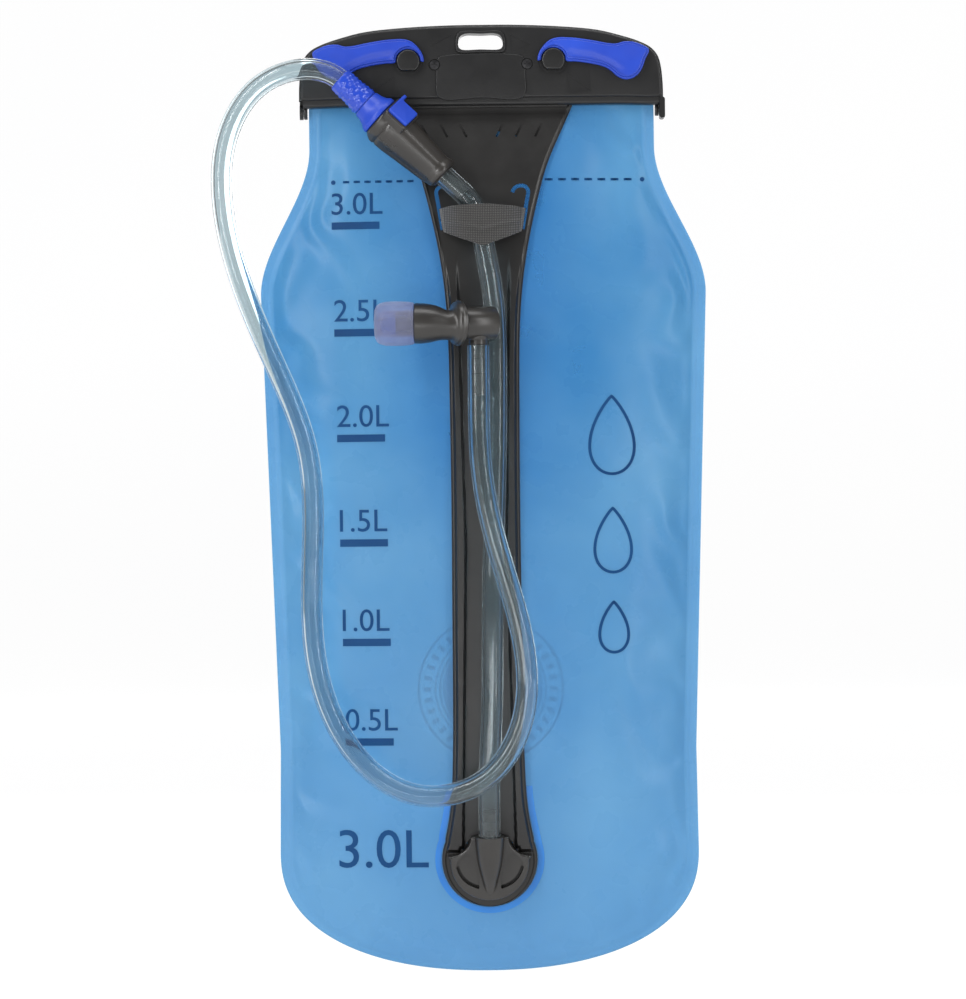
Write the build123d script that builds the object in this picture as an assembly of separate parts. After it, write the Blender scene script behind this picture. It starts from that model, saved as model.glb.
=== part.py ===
from build123d import *
import math
import os

# A 3-litre hydration bladder: welded film body, two-jaw closure with twist
# levers, a spine panel that carries the feed tube, a quick connector and a
# drink tube with a swivelling bite valve.
# Millimetres. +Z is up, the front faces -Y, and the weld seam lies in Y = 0.
# The origin is the centre of the hanger slot in the closure bar.

# ---- driving dimensions: bag ----
FILM = 0.5
FILM_TOP = -15.0
BODY_BOTTOM = -407.7
NECK_HALF = 75.8
SHOULDER_HALF = 96.6
LOW_HALF = 91.4
HEEL_HALF = 92.0
SHOULDER_START = -46.0
SHOULDER_END = -110.0
TAPER_END = -310.0
HEEL_START = -355.0
HEEL_CROSS_POWER = 2.2
HEEL_DROP_POWER = 2.35
WELD_BAND = 5.0
BULGE = 18.0
BULGE_MID = -219.0
BULGE_HALF_HEIGHT = 188.7
BULGE_POWER = 3.2
MOUTH_SPLIT = -29.35
SPLIT_GAP = 0.7

# ---- driving dimensions: closure bar ----
BAR_HALF = 79.9
BAR_TOP = 7.7
BAR_BOTTOM = -27.7
JAW_FRONT_Y = -7.5
JAW_BACK_Y = -0.6
COVER_FRONT_Y = -9.0
REAR_NEAR_Y = 0.6
REAR_FAR_Y = 5.5
REAR_TOP = -5.5
SLOT_WIDTH = 19.6
SLOT_HEIGHT = 6.9
SLOT_RIM = 1.3
HINGE_Z = -29.5
PIN_R = 1.2
LEVER_X = 31.8
LEVER_Z = -8.5
SHAFT_R = 2.95
EYE_R = 5.2
LEVER_FRONT_Y = -13.2
LEVER_BACK_Y = -9.3
HUB_FLAT = 4.2
SCREW_X = 20.3
SCREW_Z = -9.9
SCREW_HEAD_R = 2.1
SCREW_SHANK_R = 1.05
LUG_X = 77.15
LUG_THICK = 1.7
LUG_R = 3.0
EAR_X = 78.975
EAR_THICK = 1.65
EAR_R = 3.3
SEAL_Z = -20.0
SEAL_LENGTH = 140.0
SEAL_HEIGHT = 2.4
SEAL_DEPTH = 1.9

# ---- driving dimensions: spine, port and tubes ----
TUBE_R = 4.75
BORE_R = 3.2
BARB_R = 3.15
TUBE_PASSAGE_R = 2.2
SPINE_TOP = -29.0
SPINE_BOTTOM = -381.0
TAB_HALF = 38.0
TAB_Z = -25.5
TAB_Y = -3.5
RAIL_TOP = -112.0
RAIL_BOTTOM = -334.0
CHANNEL_WIDTH = 18.4
SPINE_ARC_Z = -338.0
SPINE_GAP = 0.8
SPINE_FRONT = 2.8
RAIL_FRONT = 5.0
TUBE_OFFSET = 8.6
PORT_Z = -358.0
SPINE_END_R = 20.9
FILM_HOLE_R = 12.0
ELBOW_CAP_R = 17.2
ELBOW_STEM_R = 5.2
ELBOW_TOP = 12.0
STRAP_THICK = 1.3
STRAP_HALF = 16.6
STRAP_GAP = 1.2
STRAP_SLOT_X = 19.0
STRAP_SLOT_Z = -73.0
STRAP_SLOT_TILT = 9.0

# ---- driving dimensions: quick connector ----
CONNECTOR_FOOT = (-16.8, -20.5, -59.0)
CONNECTOR_AXIS = (-0.728, 0.0, 0.686)
SOCKET_LEN = 37.0
SOCKET_BORE_R = 6.2
PLUG_R = 6.1
BUTTON_S = 31.0
BUTTON_SIZE = 10.4
BUTTON_TOP_R = 11.8
BUTTON_LEG_S = BUTTON_S + 4.4
SPRING_SHIFT = 3.9
THROAT_R = 5.0
TUBE_START = 46.6
SLEEVE_INNER_R = 4.85

# ---- driving dimensions: bite valve ----
VALVE_CENTRE = (-2.5, -38.2, -124.3)
VALVE_YAW = 22.0
BARREL_R = 7.15
BARREL_LEN = 15.5
BARREL_BORE_R = 5.0
VALVE_END = (-2.5, -38.2, -134.0)
PIPE_R = 8.2
PASSAGE_R = 3.4
BEND = 24.0
BEND_R = 14.0
BEND_TAIL = 11.7

# ---- fits ----
CLEAR = 0.05

os.makedirs("parts", exist_ok=True)


def save(name, shape):
    """Write one named node as a STEP file."""
    export_step(shape, f"parts/{name}.step")


def smooth(t):
    """Ease from 0 to 1 with flat ends."""
    t = min(max(t, 0.0), 1.0)
    return t * t * (3.0 - 2.0 * t)


def body_half(z):
    """Half-width of the flat bag outline at height z."""
    if z > SHOULDER_END:
        t = (SHOULDER_START - z) / (SHOULDER_START - SHOULDER_END)
        return NECK_HALF + (SHOULDER_HALF - NECK_HALF) * smooth(t)
    if z > TAPER_END:
        t = (SHOULDER_END - z) / (SHOULDER_END - TAPER_END)
        return SHOULDER_HALF + (LOW_HALF - SHOULDER_HALF) * t
    if z > HEEL_START:
        t = (TAPER_END - z) / (TAPER_END - HEEL_START)
        return LOW_HALF + (HEEL_HALF - LOW_HALF) * t
    t = min((HEEL_START - z) / (HEEL_START - BODY_BOTTOM), 1.0)
    return HEEL_HALF * max(1.0 - t ** HEEL_DROP_POWER, 0.0) ** (1.0 / HEEL_CROSS_POWER)


def bulge(z):
    """How far the filled film stands out from the weld plane at height z."""
    v = min(abs(z - BULGE_MID) / BULGE_HALF_HEIGHT, 1.0)
    return BULGE * (1.0 - v ** BULGE_POWER) ** 0.9


def bulge_slope(z):
    """Change of the bulge per millimetre of height."""
    step = 0.5
    return (bulge(z + step) - bulge(z - step)) / (2.0 * step)


# ---- the two films ----

def body_outline(top):
    """Flat face of the bag outline in the XZ plane, up to the height top."""
    steps = [-46, -62, -78, -94, -110, -210, -310, -355, -372, -385, -395, -402, -406]
    right = [(body_half(z), z) for z in steps]
    left = [(-x, z) for x, z in reversed(right)]
    start = (NECK_HALF, top)
    stop = (-NECK_HALF, top)
    side = Spline(start, *right, (0.0, BODY_BOTTOM), *left, stop)
    lid = Line(stop, start)
    return Plane.XZ * make_face([side, lid])


def lens(shrink):
    """Half of the filled bag, in front of the weld plane, made smaller by shrink."""
    heights = [-34, -44, -60, -80, -105, -140, -219, -300, -340, -368, -386, -397]
    sections = []
    for z in heights:
        half = body_half(z) - WELD_BAND - shrink
        depth = max(bulge(z), 1.4) - shrink
        arc = ThreePointArc((-half, 0.0), (0.0, -depth), (half, 0.0))
        rim = Polyline((half, 0.0), (half, 0.1), (-half, 0.1), (-half, 0.0))
        sections.append(Plane.XY.offset(z) * make_face([arc, rim]))
    return loft(sections, ruled=True)


def film_half(top):
    """Front film with its weld band; the back film is its mirror image."""
    flange = extrude(body_outline(top), amount=FILM)
    shell = flange + lens(0.0)
    shell -= lens(FILM)
    keep = Pos(0, -25, -200) * Box(260, 50, 460)
    return shell & keep


def port_plane():
    """Plane on the front film at the outlet, with its normal out of the bag."""
    slope = bulge_slope(PORT_Z)
    return Plane(origin=(0, -bulge(PORT_Z), PORT_Z), x_dir=(1, 0, 0), z_dir=(0, -1, -slope))


PORT = port_plane()
def at_port(shape):
    """Place a shape drawn in the outlet's own frame."""
    return PORT * shape


def front_film():
    hole = at_port(Cylinder(FILM_HOLE_R, 8))
    return film_half(FILM_TOP) - hole


def back_film():
    whole = mirror(film_half(FILM_TOP), about=Plane.XZ)
    gap_bottom = MOUTH_SPLIT - SPLIT_GAP / 2
    gap_top = MOUTH_SPLIT + SPLIT_GAP / 2
    low = Pos(0, 20, gap_bottom - 200) * Box(260, 60, 400)
    high = Pos(0, 20, gap_top + 20) * Box(260, 60, 40)
    return whole & low, whole & high


# ---- closure bar ----

def bar_outline(inset=0.0, bottom=BAR_BOTTOM):
    """Arched outline of the closure bar in the XZ plane."""
    top = BAR_TOP - inset
    half = BAR_HALF - inset
    shoulder = 0.7 - inset
    brow = 6.2 - inset
    crown = Spline((-67.0, shoulder), (-38.0, brow), (0.0, top), (38.0, brow), (67.0, shoulder))
    right = Spline((67.0, shoulder), (75.6 - inset, -3.6), (half - 0.9, -10.8), (half, -18.7))
    left = Spline((-half, -18.7), (0.9 - half, -10.8), (inset - 75.6, -3.6), (-67.0, shoulder))
    base = Polyline((half, -18.7), (half - 0.2, bottom), (0.2 - half, bottom), (-half, -18.7))
    return Plane.XZ * make_face([crown, right, base, left])


def between(face, front, back):
    """Solid from a face in the XZ plane, filling the depth from front to back."""
    return Pos(0, back, 0) * extrude(face, amount=back - front)


def slot_hole(grow=0.0):
    """Hanger slot: rounded upper corners, nearly square lower corners."""
    shape = RectangleRounded(SLOT_WIDTH + 2 * grow, SLOT_HEIGHT + 2 * grow, 2.6)
    return Plane.XZ * shape


def both_sides(make):
    """A shape and its mirror image, for pieces that come in left and right."""
    right = make()
    return right, mirror(right, about=Plane.YZ)


def y_cylinder(x, z, radius, front, back):
    """Cylinder along Y."""
    return Pos(x, (front + back) / 2, z) * Rot(90, 0, 0) * Cylinder(radius, back - front)


def x_disc(x, thick, radius):
    """Disc on the jaw hinge axis, centred at x."""
    return Pos(x, 0, HINGE_Z) * Rot(0, 90, 0) * Cylinder(radius, thick)


def front_jaw():
    """Fixed jaw: carries the slot, the lever bearings, the cover and the spine tab."""
    jaw = between(bar_outline(), JAW_FRONT_Y, JAW_BACK_Y)
    rim = between(slot_hole(SLOT_RIM), COVER_FRONT_Y - 0.6, 1.0)
    jaw = jaw + rim
    jaw -= between(slot_hole(), -12, 4)
    # pocket that holds the tab of the spine panel
    jaw -= Pos(0, TAB_Y, TAB_Z + 0.5) * Box(2 * TAB_HALF + 1.0, 2.6, 11.0)
    for side in (-1, 1):
        jaw -= y_cylinder(side * LEVER_X, LEVER_Z, SHAFT_R + CLEAR, -8, 0)
        jaw -= y_cylinder(side * SCREW_X, SCREW_Z, 1.3, -8, -1.6)
        # relief pockets behind the levers keep the wall even
        jaw -= Pos(side * 57, -3.2, -11) * Box(26, 5.4, 9)
        # hinge lug at the lower corner
        lug = x_disc(side * LUG_X, LUG_THICK, LUG_R)
        web = Pos(side * LUG_X, -3.0, -27.0) * Box(LUG_THICK, 6.0, 5.0)
        jaw += lug + web
        jaw -= x_disc(side * LUG_X, 2 * LUG_THICK, PIN_R + 0.02)
        # clearance for the rear ear beside the lug
        jaw -= x_disc(side * 79.525, 2.95, 5.2)
    return jaw


def front_cover():
    """Thin styled plate screwed to the front of the fixed jaw."""
    cover = between(bar_outline(0.8, -25.2), COVER_FRONT_Y, JAW_FRONT_Y - CLEAR)
    # raised centre panel between the screws
    panel = Plane.XZ * Pos(0, -12.5) * RectangleRounded(34, 14.0, 3.0)
    cover += between(panel, COVER_FRONT_Y - 0.7, COVER_FRONT_Y + 0.2)
    cover -= between(slot_hole(SLOT_RIM + CLEAR), -12, -6)
    for side in (-1, 1):
        cover -= y_cylinder(side * LEVER_X, LEVER_Z, SHAFT_R + CLEAR, -12, -6)
        cover -= y_cylinder(side * SCREW_X, SCREW_Z, 2.5, -12, COVER_FRONT_Y + 0.7)
        cover -= y_cylinder(side * SCREW_X, SCREW_Z, 1.15, -12, -6)
        # shallow facet under each lever
        corners = [(side * 40, -12), (side * 60, -20), (side * 46, -20)]
        facet = Plane.XZ * make_face(Polyline(*corners, close=True))
        cover -= between(facet, COVER_FRONT_Y - 0.1, COVER_FRONT_Y + 0.4)
    return cover


def cover_screws():
    """Two identical cross-head screws."""
    def screw():
        head = y_cylinder(SCREW_X, SCREW_Z, SCREW_HEAD_R, COVER_FRONT_Y - 0.5, COVER_FRONT_Y + 0.65)
        shank = y_cylinder(SCREW_X, SCREW_Z, SCREW_SHANK_R, COVER_FRONT_Y, -2.0)
        drive = Pos(SCREW_X, COVER_FRONT_Y - 0.5, SCREW_Z) * (Box(2.6, 0.9, 0.6) + Box(0.6, 0.9, 2.6))
        return head + shank - drive
    return Compound(children=list(both_sides(screw)))


def hinge_pins():
    """Steel pins through the lugs and ears at both lower corners."""
    def pin():
        return x_disc(78.05, 3.3, PIN_R)
    return Compound(children=list(both_sides(pin)))


def rear_jaw():
    """Swinging jaw that pinches the back film against the front one."""
    jaw = between(bar_outline(0.6), REAR_NEAR_Y, REAR_FAR_Y)
    jaw -= Pos(0, 3, REAR_TOP + 10) * Box(180, 10, 20)
    # groove for the seal in the face towards the films
    jaw -= Pos(0, REAR_NEAR_Y + 0.9, SEAL_Z) * Box(SEAL_LENGTH + 2.0, 2.0, SEAL_HEIGHT + 0.2)
    # long relief pockets leave ribs on the back
    for x in (-57, -19, 19, 57):
        jaw -= Pos(x, REAR_FAR_Y - 0.6, -11) * Box(26, 1.4, 7)
    for side in (-1, 1):
        window = y_cylinder(side * LEVER_X, LEVER_Z, 8.0, 0, 6)
        jaw -= window + Pos(side * LEVER_X, 3, 0) * Box(16, 6, 17)
        # room for the fixed lug, then the ear itself
        jaw -= Pos(side * LUG_X, 0, HINGE_Z) * Box(LUG_THICK + 0.5, 12.4, 12.4)
        jaw -= x_disc(side * 76.8, 2.6, 6.2)
        ear = x_disc(side * EAR_X, EAR_THICK, EAR_R)
        web = Pos(side * EAR_X, 2.7, -26.5) * Box(EAR_THICK, 5.4, 6.0)
        jaw += ear + web
        jaw -= x_disc(side * EAR_X, 2.0, PIN_R + CLEAR)
    return jaw


def mouth_seal():
    """Rubber strip in the rear jaw that presses the mouth shut."""
    return Pos(0, REAR_NEAR_Y + 0.87, SEAL_Z) * Box(SEAL_LENGTH, SEAL_DEPTH, SEAL_HEIGHT)


# ---- twist levers ----

def hub_face(radius):
    """D shape in the XZ plane: round top, flat bottom."""
    disc = Pos(LEVER_X, LEVER_Z) * Circle(radius)
    below = Pos(LEVER_X, LEVER_Z - HUB_FLAT - 5) * Rectangle(20, 10)
    return Plane.XZ * (disc - below)


def lever():
    """Right-hand twist lever with its C-shaped eye round the hub."""
    outline = Spline(
        (26.6, -5.0), (28.6, -1.2), (33.9, 1.2), (42.0, 1.0), (50.0, -0.4), (60.5, -1.5),
        (66.0, -0.9), (72.5, -3.3), (73.9, -4.6), (71.5, -10.2), (70.0, -13.0), (66.8, -16.5),
        (62.5, -17.4), (58.7, -15.2), (55.4, -12.4), (49.1, -10.3), (42.0, -9.0), (38.6, -9.2))
    close = Polyline((38.6, -9.2), (LEVER_X, LEVER_Z), (26.6, -5.0))
    blade = Plane.XZ * make_face([outline, close])
    eye = Plane.XZ * (Pos(LEVER_X, LEVER_Z) * Circle(EYE_R + 2.4))
    body = between(blade, LEVER_FRONT_Y, LEVER_BACK_Y)
    body += between(eye, LEVER_FRONT_Y + 0.8, LEVER_BACK_Y)
    body -= between(hub_face(EYE_R + CLEAR), -15, -8)
    # scooped finger facet along the lower edge
    scoop = Pos(51, LEVER_FRONT_Y - 1.5, -10.5) * Rot(0, 12, 0) * Box(24, 5.0, 3.4)
    body -= scoop
    # raised pad at the finger end
    pad = Plane.XZ * Pos(66.5, -8.0) * Circle(5.2)
    body += between(pad, LEVER_FRONT_Y - 0.6, LEVER_FRONT_Y + 0.3)
    return body


def latch_shaft():
    """D-shaped hub, turning shaft and the dog behind the rear jaw window."""
    hub = between(hub_face(EYE_R), LEVER_FRONT_Y, -9.2)
    shaft = y_cylinder(LEVER_X, LEVER_Z, SHAFT_R, -9.5, 0.0)
    dog = Pos(LEVER_X, 1.3, LEVER_Z) * Box(11.0, 3.4, 4.4)
    dog &= y_cylinder(LEVER_X, LEVER_Z, 5.5, -0.4, 3.0)
    return hub + shaft + dog


# ---- spine panel, port and strap ----

def spine_half(z):
    """Half-width of the spine panel at height z."""
    marks = [(-28, 40.0), (-53, 29.0), (-86, 20.5), (-113, 16.5), (-200, 15.0), (-320, 15.9), (-345, 17.6)]
    for (z_high, w_high), (z_low, w_low) in zip(marks, marks[1:]):
        if z >= z_low:
            return w_high + (w_low - w_high) * (z_high - z) / (z_high - z_low)
    return marks[-1][1]


def side_band(near, far, top, bottom):
    """Band that follows the bulge of the film, as a solid wide in X."""
    count = 18
    heights = [top + (bottom - top) * i / count for i in range(count + 1)]
    inner = [(-(bulge(z) + near), z) for z in heights]
    outer = [(-(bulge(z) + far), z) for z in reversed(heights)]
    loop = [Spline(*inner), Line(inner[-1], outer[0]), Spline(*outer), Line(outer[-1], inner[0])]
    return extrude(Plane.YZ * make_face(loop), amount=45, both=True)


def spine_outline(inset=0.0):
    """Flared top, narrow waist and round end, as a face in the XZ plane."""
    heights = [-28, -40, -53, -68, -86, -113, -150, -200, -260, -320, SPINE_ARC_Z]
    right = [(spine_half(z) - inset, z) for z in heights]
    left = [(-x, z) for x, z in reversed(right)]
    end = ThreePointArc(right[-1], (0, PORT_Z - SPINE_END_R + inset), left[0])
    edge = [Spline(*right), end, Spline(*left), Line(left[-1], right[0])]
    return Plane.XZ * make_face(edge)


def spine_panel():
    """Stiff panel down the middle: tab, flared top, tube channel, round end."""
    plate = side_band(SPINE_GAP, SPINE_FRONT, SPINE_TOP, SPINE_BOTTOM) & between(spine_outline(), -60, 0)
    # two raised rails with the tube channel between them
    rails = side_band(SPINE_GAP, RAIL_FRONT, RAIL_TOP, RAIL_BOTTOM) & between(spine_outline(0.8), -60, 0)
    rails -= Pos(0, -20, -220) * Box(CHANNEL_WIDTH, 60, 240)
    panel = plate + rails
    # tab that sits in the pocket of the front jaw
    tab = Pos(0, TAB_Y, TAB_Z) * Box(2 * TAB_HALF, 2.2, 8.0)
    panel += tab
    panel -= at_port(Cylinder(FILM_HOLE_R + 0.6, 30))
    # slots for the strap
    for side in (-1, 1):
        place = Pos(side * STRAP_SLOT_X, -12, STRAP_SLOT_Z) * Rot(0, side * STRAP_SLOT_TILT, 0)
        panel -= place * Box(1.7, 20, 17)
    # grip grooves under the bar
    for k in range(3):
        for side in (-1, 1):
            spot = Pos(side * (6 + 8 * k), -(bulge(-36) + SPINE_FRONT), -36)
            panel -= spot * Rot(0, side * 28, 0) * Box(1.4, 0.9, 11)
    return panel


def port_flange():
    """Ring welded inside the film, with a boss that stands through the hole."""
    disc = Pos(0, 0, -1.9) * Cylinder(16.0, 1.4)
    boss = Pos(0, 0, 0.2) * Cylinder(11.6, 5.0)
    bore = Cylinder(8.0, 12)
    return at_port(disc + boss - bore)


def port_o_ring():
    """Seal between the elbow's spigot and the flange."""
    return at_port(Pos(0, 0, 0.6) * Torus(7.2, 0.7))


def outlet_elbow():
    """Round cap on the port with a stem that turns up into the feed tube."""
    cap = Pos(0, 0, 4.6) * Cylinder(ELBOW_CAP_R, 3.0)
    spigot = Pos(0, 0, 0.95) * Cylinder(7.9, 4.5) - Pos(0, 0, 0.6) * Torus(7.3, 0.85)
    dome = Pos(0, -1.0, 6.0) * Sphere(8.0)
    dome &= Pos(0, 0, 12.0) * Box(40, 40, 14)
    stem = Pos(0, 6.0, TUBE_OFFSET) * Rot(90, 0, 0) * Cylinder(ELBOW_STEM_R, 12.0)
    barb = Pos(0, 17.5, TUBE_OFFSET) * Rot(90, 0, 0) * Cylinder(BARB_R, 12.0)
    body = cap + spigot + dome
    body -= Pos(0, ELBOW_TOP + 5.1, TUBE_OFFSET) * Rot(90, 0, 0) * Cylinder(TUBE_R + 0.3, 10.0)
    body += stem + barb
    for side in (-1, 1):
        # curved reliefs either side of the stem
        body -= Pos(side * 12.5, -4.0, 6.2) * Cylinder(3.4, 2.4)
        body -= Pos(side * 12.8, 6.5, 6.2) * Cylinder(2.2, 2.4)
    body -= Pos(0, 0, 3.2) * Cylinder(2.3, 11)
    body -= Pos(0, 11.6, TUBE_OFFSET) * Rot(90, 0, 0) * Cylinder(TUBE_PASSAGE_R, 24.4)
    return at_port(body)


def strap_path_y(x, z):
    """Depth of the strap's inner face: it lies on the spine and over the tube."""
    base = bulge(z) + SPINE_FRONT + STRAP_GAP
    crest = -CONNECTOR_FOOT[1] + TUBE_R + STRAP_GAP
    tube_x = -7.0 + 6.4 * (z + 73.0) / -13.0
    span = STRAP_HALF + tube_x if x < tube_x else STRAP_HALF - tube_x
    reach = min(abs(x - tube_x) / span, 1.0)
    return -(crest + (base - crest) * reach ** 2.4)


def tube_strap():
    """Woven strap bulging over the tube, closed at both slots."""
    sections = []
    half_height = 5.6
    count = 16
    for i in range(count + 1):
        x = -STRAP_HALF + 2 * STRAP_HALF * i / count
        middle = -79.0 - 2.0 * (1 - (x / STRAP_HALF) ** 2)
        top = middle + half_height
        low = middle - half_height
        inner_top = strap_path_y(x, top)
        inner_low = strap_path_y(x, low)
        edge = Polyline(
            (inner_top, top), (inner_low, low), (inner_low - STRAP_THICK, low),
            (inner_top - STRAP_THICK, top), (inner_top, top))
        sections.append(Plane.YZ.offset(x) * make_face(edge))
    return loft(sections, ruled=True)


# ---- tubes ----

def rod_along(path, radius):
    """Round bar swept along one edge."""
    start = Plane(origin=path @ 0, z_dir=path % 0)
    return sweep(start * Circle(radius), path=path)


def tube_along(path):
    """Hollow tube that follows a path."""
    return rod_along(path, TUBE_R) - rod_along(path, BORE_R)


def straight_points(start, direction, length):
    """Points along a straight stretch, close enough to keep a curve straight."""
    count = 4
    return [start + direction * (length * i / count) for i in range(count + 1)]


def tube_path(points, start_dir, end_dir, start_len, end_len):
    """One smooth curve whose two ends, where barbs go in, stay straight."""
    first = Vector(*points[0])
    last = Vector(*points[-1])
    start_dir = Vector(*start_dir).normalized()
    end_dir = Vector(*end_dir).normalized()
    head = straight_points(first, start_dir, start_len)
    tail = straight_points(last - end_dir * end_len, end_dir, end_len)
    middle = [Vector(*p) for p in points[1:-1]]
    return Spline(*head, *middle, *tail).edge()


AXIS = Vector(*CONNECTOR_AXIS).normalized()
CONNECTOR_SIDE = (CONNECTOR_AXIS[2], 0, -CONNECTOR_AXIS[0])
CONNECTOR = Plane(origin=CONNECTOR_FOOT, x_dir=CONNECTOR_SIDE, z_dir=CONNECTOR_AXIS)


def feed_y(z):
    """Depth of the feed tube's centre line in the spine channel."""
    return -(bulge(z) + TUBE_OFFSET)


def feed_tube():
    """Short clear tube from the outlet elbow up to the quick connector."""
    foot = PORT.from_local_coords(Vector(0, ELBOW_TOP + 0.2, TUBE_OFFSET))
    top = Vector(*CONNECTOR_FOOT) - AXIS * 0.4
    spots = [(1.7, -290), (2.6, -240), (4.4, -190), (5.3, -145), (4.2, -112), (0.4, -89)]
    points = [(foot.X, foot.Y, foot.Z)]
    points += [(x, feed_y(z), z) for x, z in spots]
    points += [(top.X, top.Y, top.Z)]
    path = tube_path(points, tuple(PORT.y_dir), tuple(AXIS), 13.0, 12.5)
    return tube_along(path)


def drink_tube():
    """Long clear tube: over the bar, down the left side, round and up to the valve."""
    start = Vector(*CONNECTOR_FOOT) + AXIS * TUBE_START
    spots = [
        (-70.5, -20.2, -12.6), (-82.0, -19.0, -12.6), (-98.0, -17.0, -20.0), (-111.0, -16.0, -41.0),
        (-113.4, -16.0, -68.0), (-106.5, -16.2, -102.0), (-92.0, -17.5, -139.0), (-78.0, -19.0, -177.0),
        (-75.9, -18.0, -222.0), (-74.6, -17.5, -272.0), (-60.0, -22.0, -308.5), (-30.0, -31.5, -328.6),
        (-2.0, -35.8, -322.0), (14.6, -36.6, -297.0), (14.2, -36.9, -256.0), (4.2, -37.2, -219.0),
        (-1.6, -37.4, -188.0)]
    points = [(start.X, start.Y, start.Z)] + spots + [VALVE_END]
    path = tube_path(points, tuple(AXIS), (0, 0, 1), 15.0, 22.0)
    return tube_along(path)


# ---- quick connector ----

def turned(profile):
    """Solid of revolution about the connector axis from (radius, s) points."""
    face = Plane.XZ * make_face(Polyline(*profile, profile[0]))
    return revolve(face, axis=Axis.Z)


BUTTON_DIR = Vector(1, -1, 0).normalized()


def button_frame(radial, s=BUTTON_S):
    """Local plane on the connector whose normal is the button's push axis."""
    spot = BUTTON_DIR * radial + Vector(0, 0, s)
    return Plane(origin=spot, x_dir=(0, 0, 1), z_dir=BUTTON_DIR)


def button_block(size_s, size_t, low, high):
    """Block centred on the button axis from radius low to radius high."""
    return button_frame((low + high) / 2) * Box(size_s, size_t, high - low)


def socket_body():
    """Outer half of the quick connector that stays with the bag."""
    shell = turned([
        (0, 0), (6.5, 0), (6.9, 6), (8.3, 20), (9.3, 29), (9.5, 33), (9.5, SOCKET_LEN), (0, SOCKET_LEN)])
    # keel along the underside
    keel = Pos(-7.4, 0, 18.5) * Box(3.6, 3.4, 36)
    shell += keel
    shell += button_block(11.9, 13.2, 4.0, 10.6)
    shell &= Pos(0, 0, SOCKET_LEN / 2) * Cylinder(14, SOCKET_LEN)
    shell -= Pos(0, 0, 7) * Cylinder(THROAT_R, 14.2)
    shell -= Pos(0, 0, 14 + 12) * Cylinder(SOCKET_BORE_R, 24.1)
    # pocket for the button pad and window for its latch foot
    shell -= button_block(BUTTON_SIZE + 0.3, BUTTON_SIZE + 0.3, 7.4, 20)
    shell -= button_block(5.3, 5.3, 4.0, 10)
    shell -= button_frame(13.4, BUTTON_LEG_S) * Pos(0, 7.0, 0) * Box(2.0, 5.0, 12.0)
    return CONNECTOR * shell


def socket_tail():
    """Inner sleeve of the socket with the barb for the feed tube."""
    body = turned([
        (2.0, -12), (BARB_R, -12), (BARB_R, -0.3), (5.9, -0.3), (5.9, -0.05), (4.95, -0.05),
        (4.95, 13.8), (3.8, 13.8), (3.8, 3.0), (2.0, 3.0)])
    return CONNECTOR * body


def valve_poppet():
    """Poppet that shuts the socket when the plug is pulled out."""
    stem = Pos(0, 0, 6.6) * Cylinder(1.1, 5.6)
    head = Pos(0, 0, 9.8) * Cylinder(3.3, 1.0)
    groove = Pos(0, 0, 9.8) * Torus(3.4, 0.42)
    return CONNECTOR * (stem + head - groove)


def poppet_o_ring():
    """Seal in the poppet's rim."""
    return CONNECTOR * (Pos(0, 0, 9.8) * Torus(3.36, 0.36))


def coil(radius, wire, height, pitch):
    """Compression spring standing on Z = 0."""
    path = Helix(pitch=pitch, height=height, radius=radius)
    start = Plane(origin=path @ 0, z_dir=path % 0)
    return sweep(start * Circle(wire), path=path)


def poppet_spring():
    """Spring that pushes the poppet after the plug."""
    return CONNECTOR * (Pos(0, 0, 3.35) * coil(2.6, 0.28, 5.5, 1.6))


def release_button():
    """Square push button with a latch foot and a corner leg."""
    pad = button_block(BUTTON_SIZE, BUTTON_SIZE, 9.7, BUTTON_TOP_R)
    foot = button_block(5.0, 5.0, 8.6, 10.0)
    leg = button_frame(10.7, BUTTON_LEG_S) * Pos(0, 6.6, 0) * Box(1.6, 3.6, 1.6)
    body = pad + foot + leg
    for shift in (-SPRING_SHIFT, SPRING_SHIFT):
        body -= button_frame(10.0, BUTTON_S + shift) * Cylinder(0.95, 2.0)
    return CONNECTOR * body


def button_springs():
    """Two small return springs under the button."""
    springs = []
    for shift in (-SPRING_SHIFT, SPRING_SHIFT):
        base = button_frame(7.62, BUTTON_S + shift)
        springs.append(CONNECTOR * (base * coil(0.6, 0.12, 3.1, 0.62)))
    return Compound(children=springs)


def connector_plug():
    """Blue plug on the drink tube, with its flange and barb."""
    body = turned([
        (2.4, 11.3), (3.4, 11.3), (3.4, 14.3), (PLUG_R, 14.3), (PLUG_R, 22.0), (4.75, 22.0),
        (4.75, 23.6), (PLUG_R, 23.6), (PLUG_R, 37.3), (9.3, 37.3), (9.3, 39.5), (6.4, 45.9),
        (BARB_R, 45.9), (BARB_R, 59.0), (2.4, 59.0)])
    return CONNECTOR * body


def plug_o_ring():
    """Seal in the plug's groove."""
    return CONNECTOR * (Pos(0, 0, 22.8) * Torus(5.46, 0.68))


def strain_relief():
    """Dimpled rubber sleeve over the end of the drink tube."""
    sleeve = turned([
        (SLEEVE_INNER_R, 46.1), (6.4, 46.1), (6.0, 50), (5.7, 56), (5.6, 61.5), (SLEEVE_INNER_R, 61.5)])
    return CONNECTOR * sleeve


# ---- bite valve ----

VALVE = Plane(
    origin=VALVE_CENTRE,
    x_dir=(0, 0, 1),
    z_dir=(-math.cos(math.radians(VALVE_YAW)), -math.sin(math.radians(VALVE_YAW)), 0))


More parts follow.
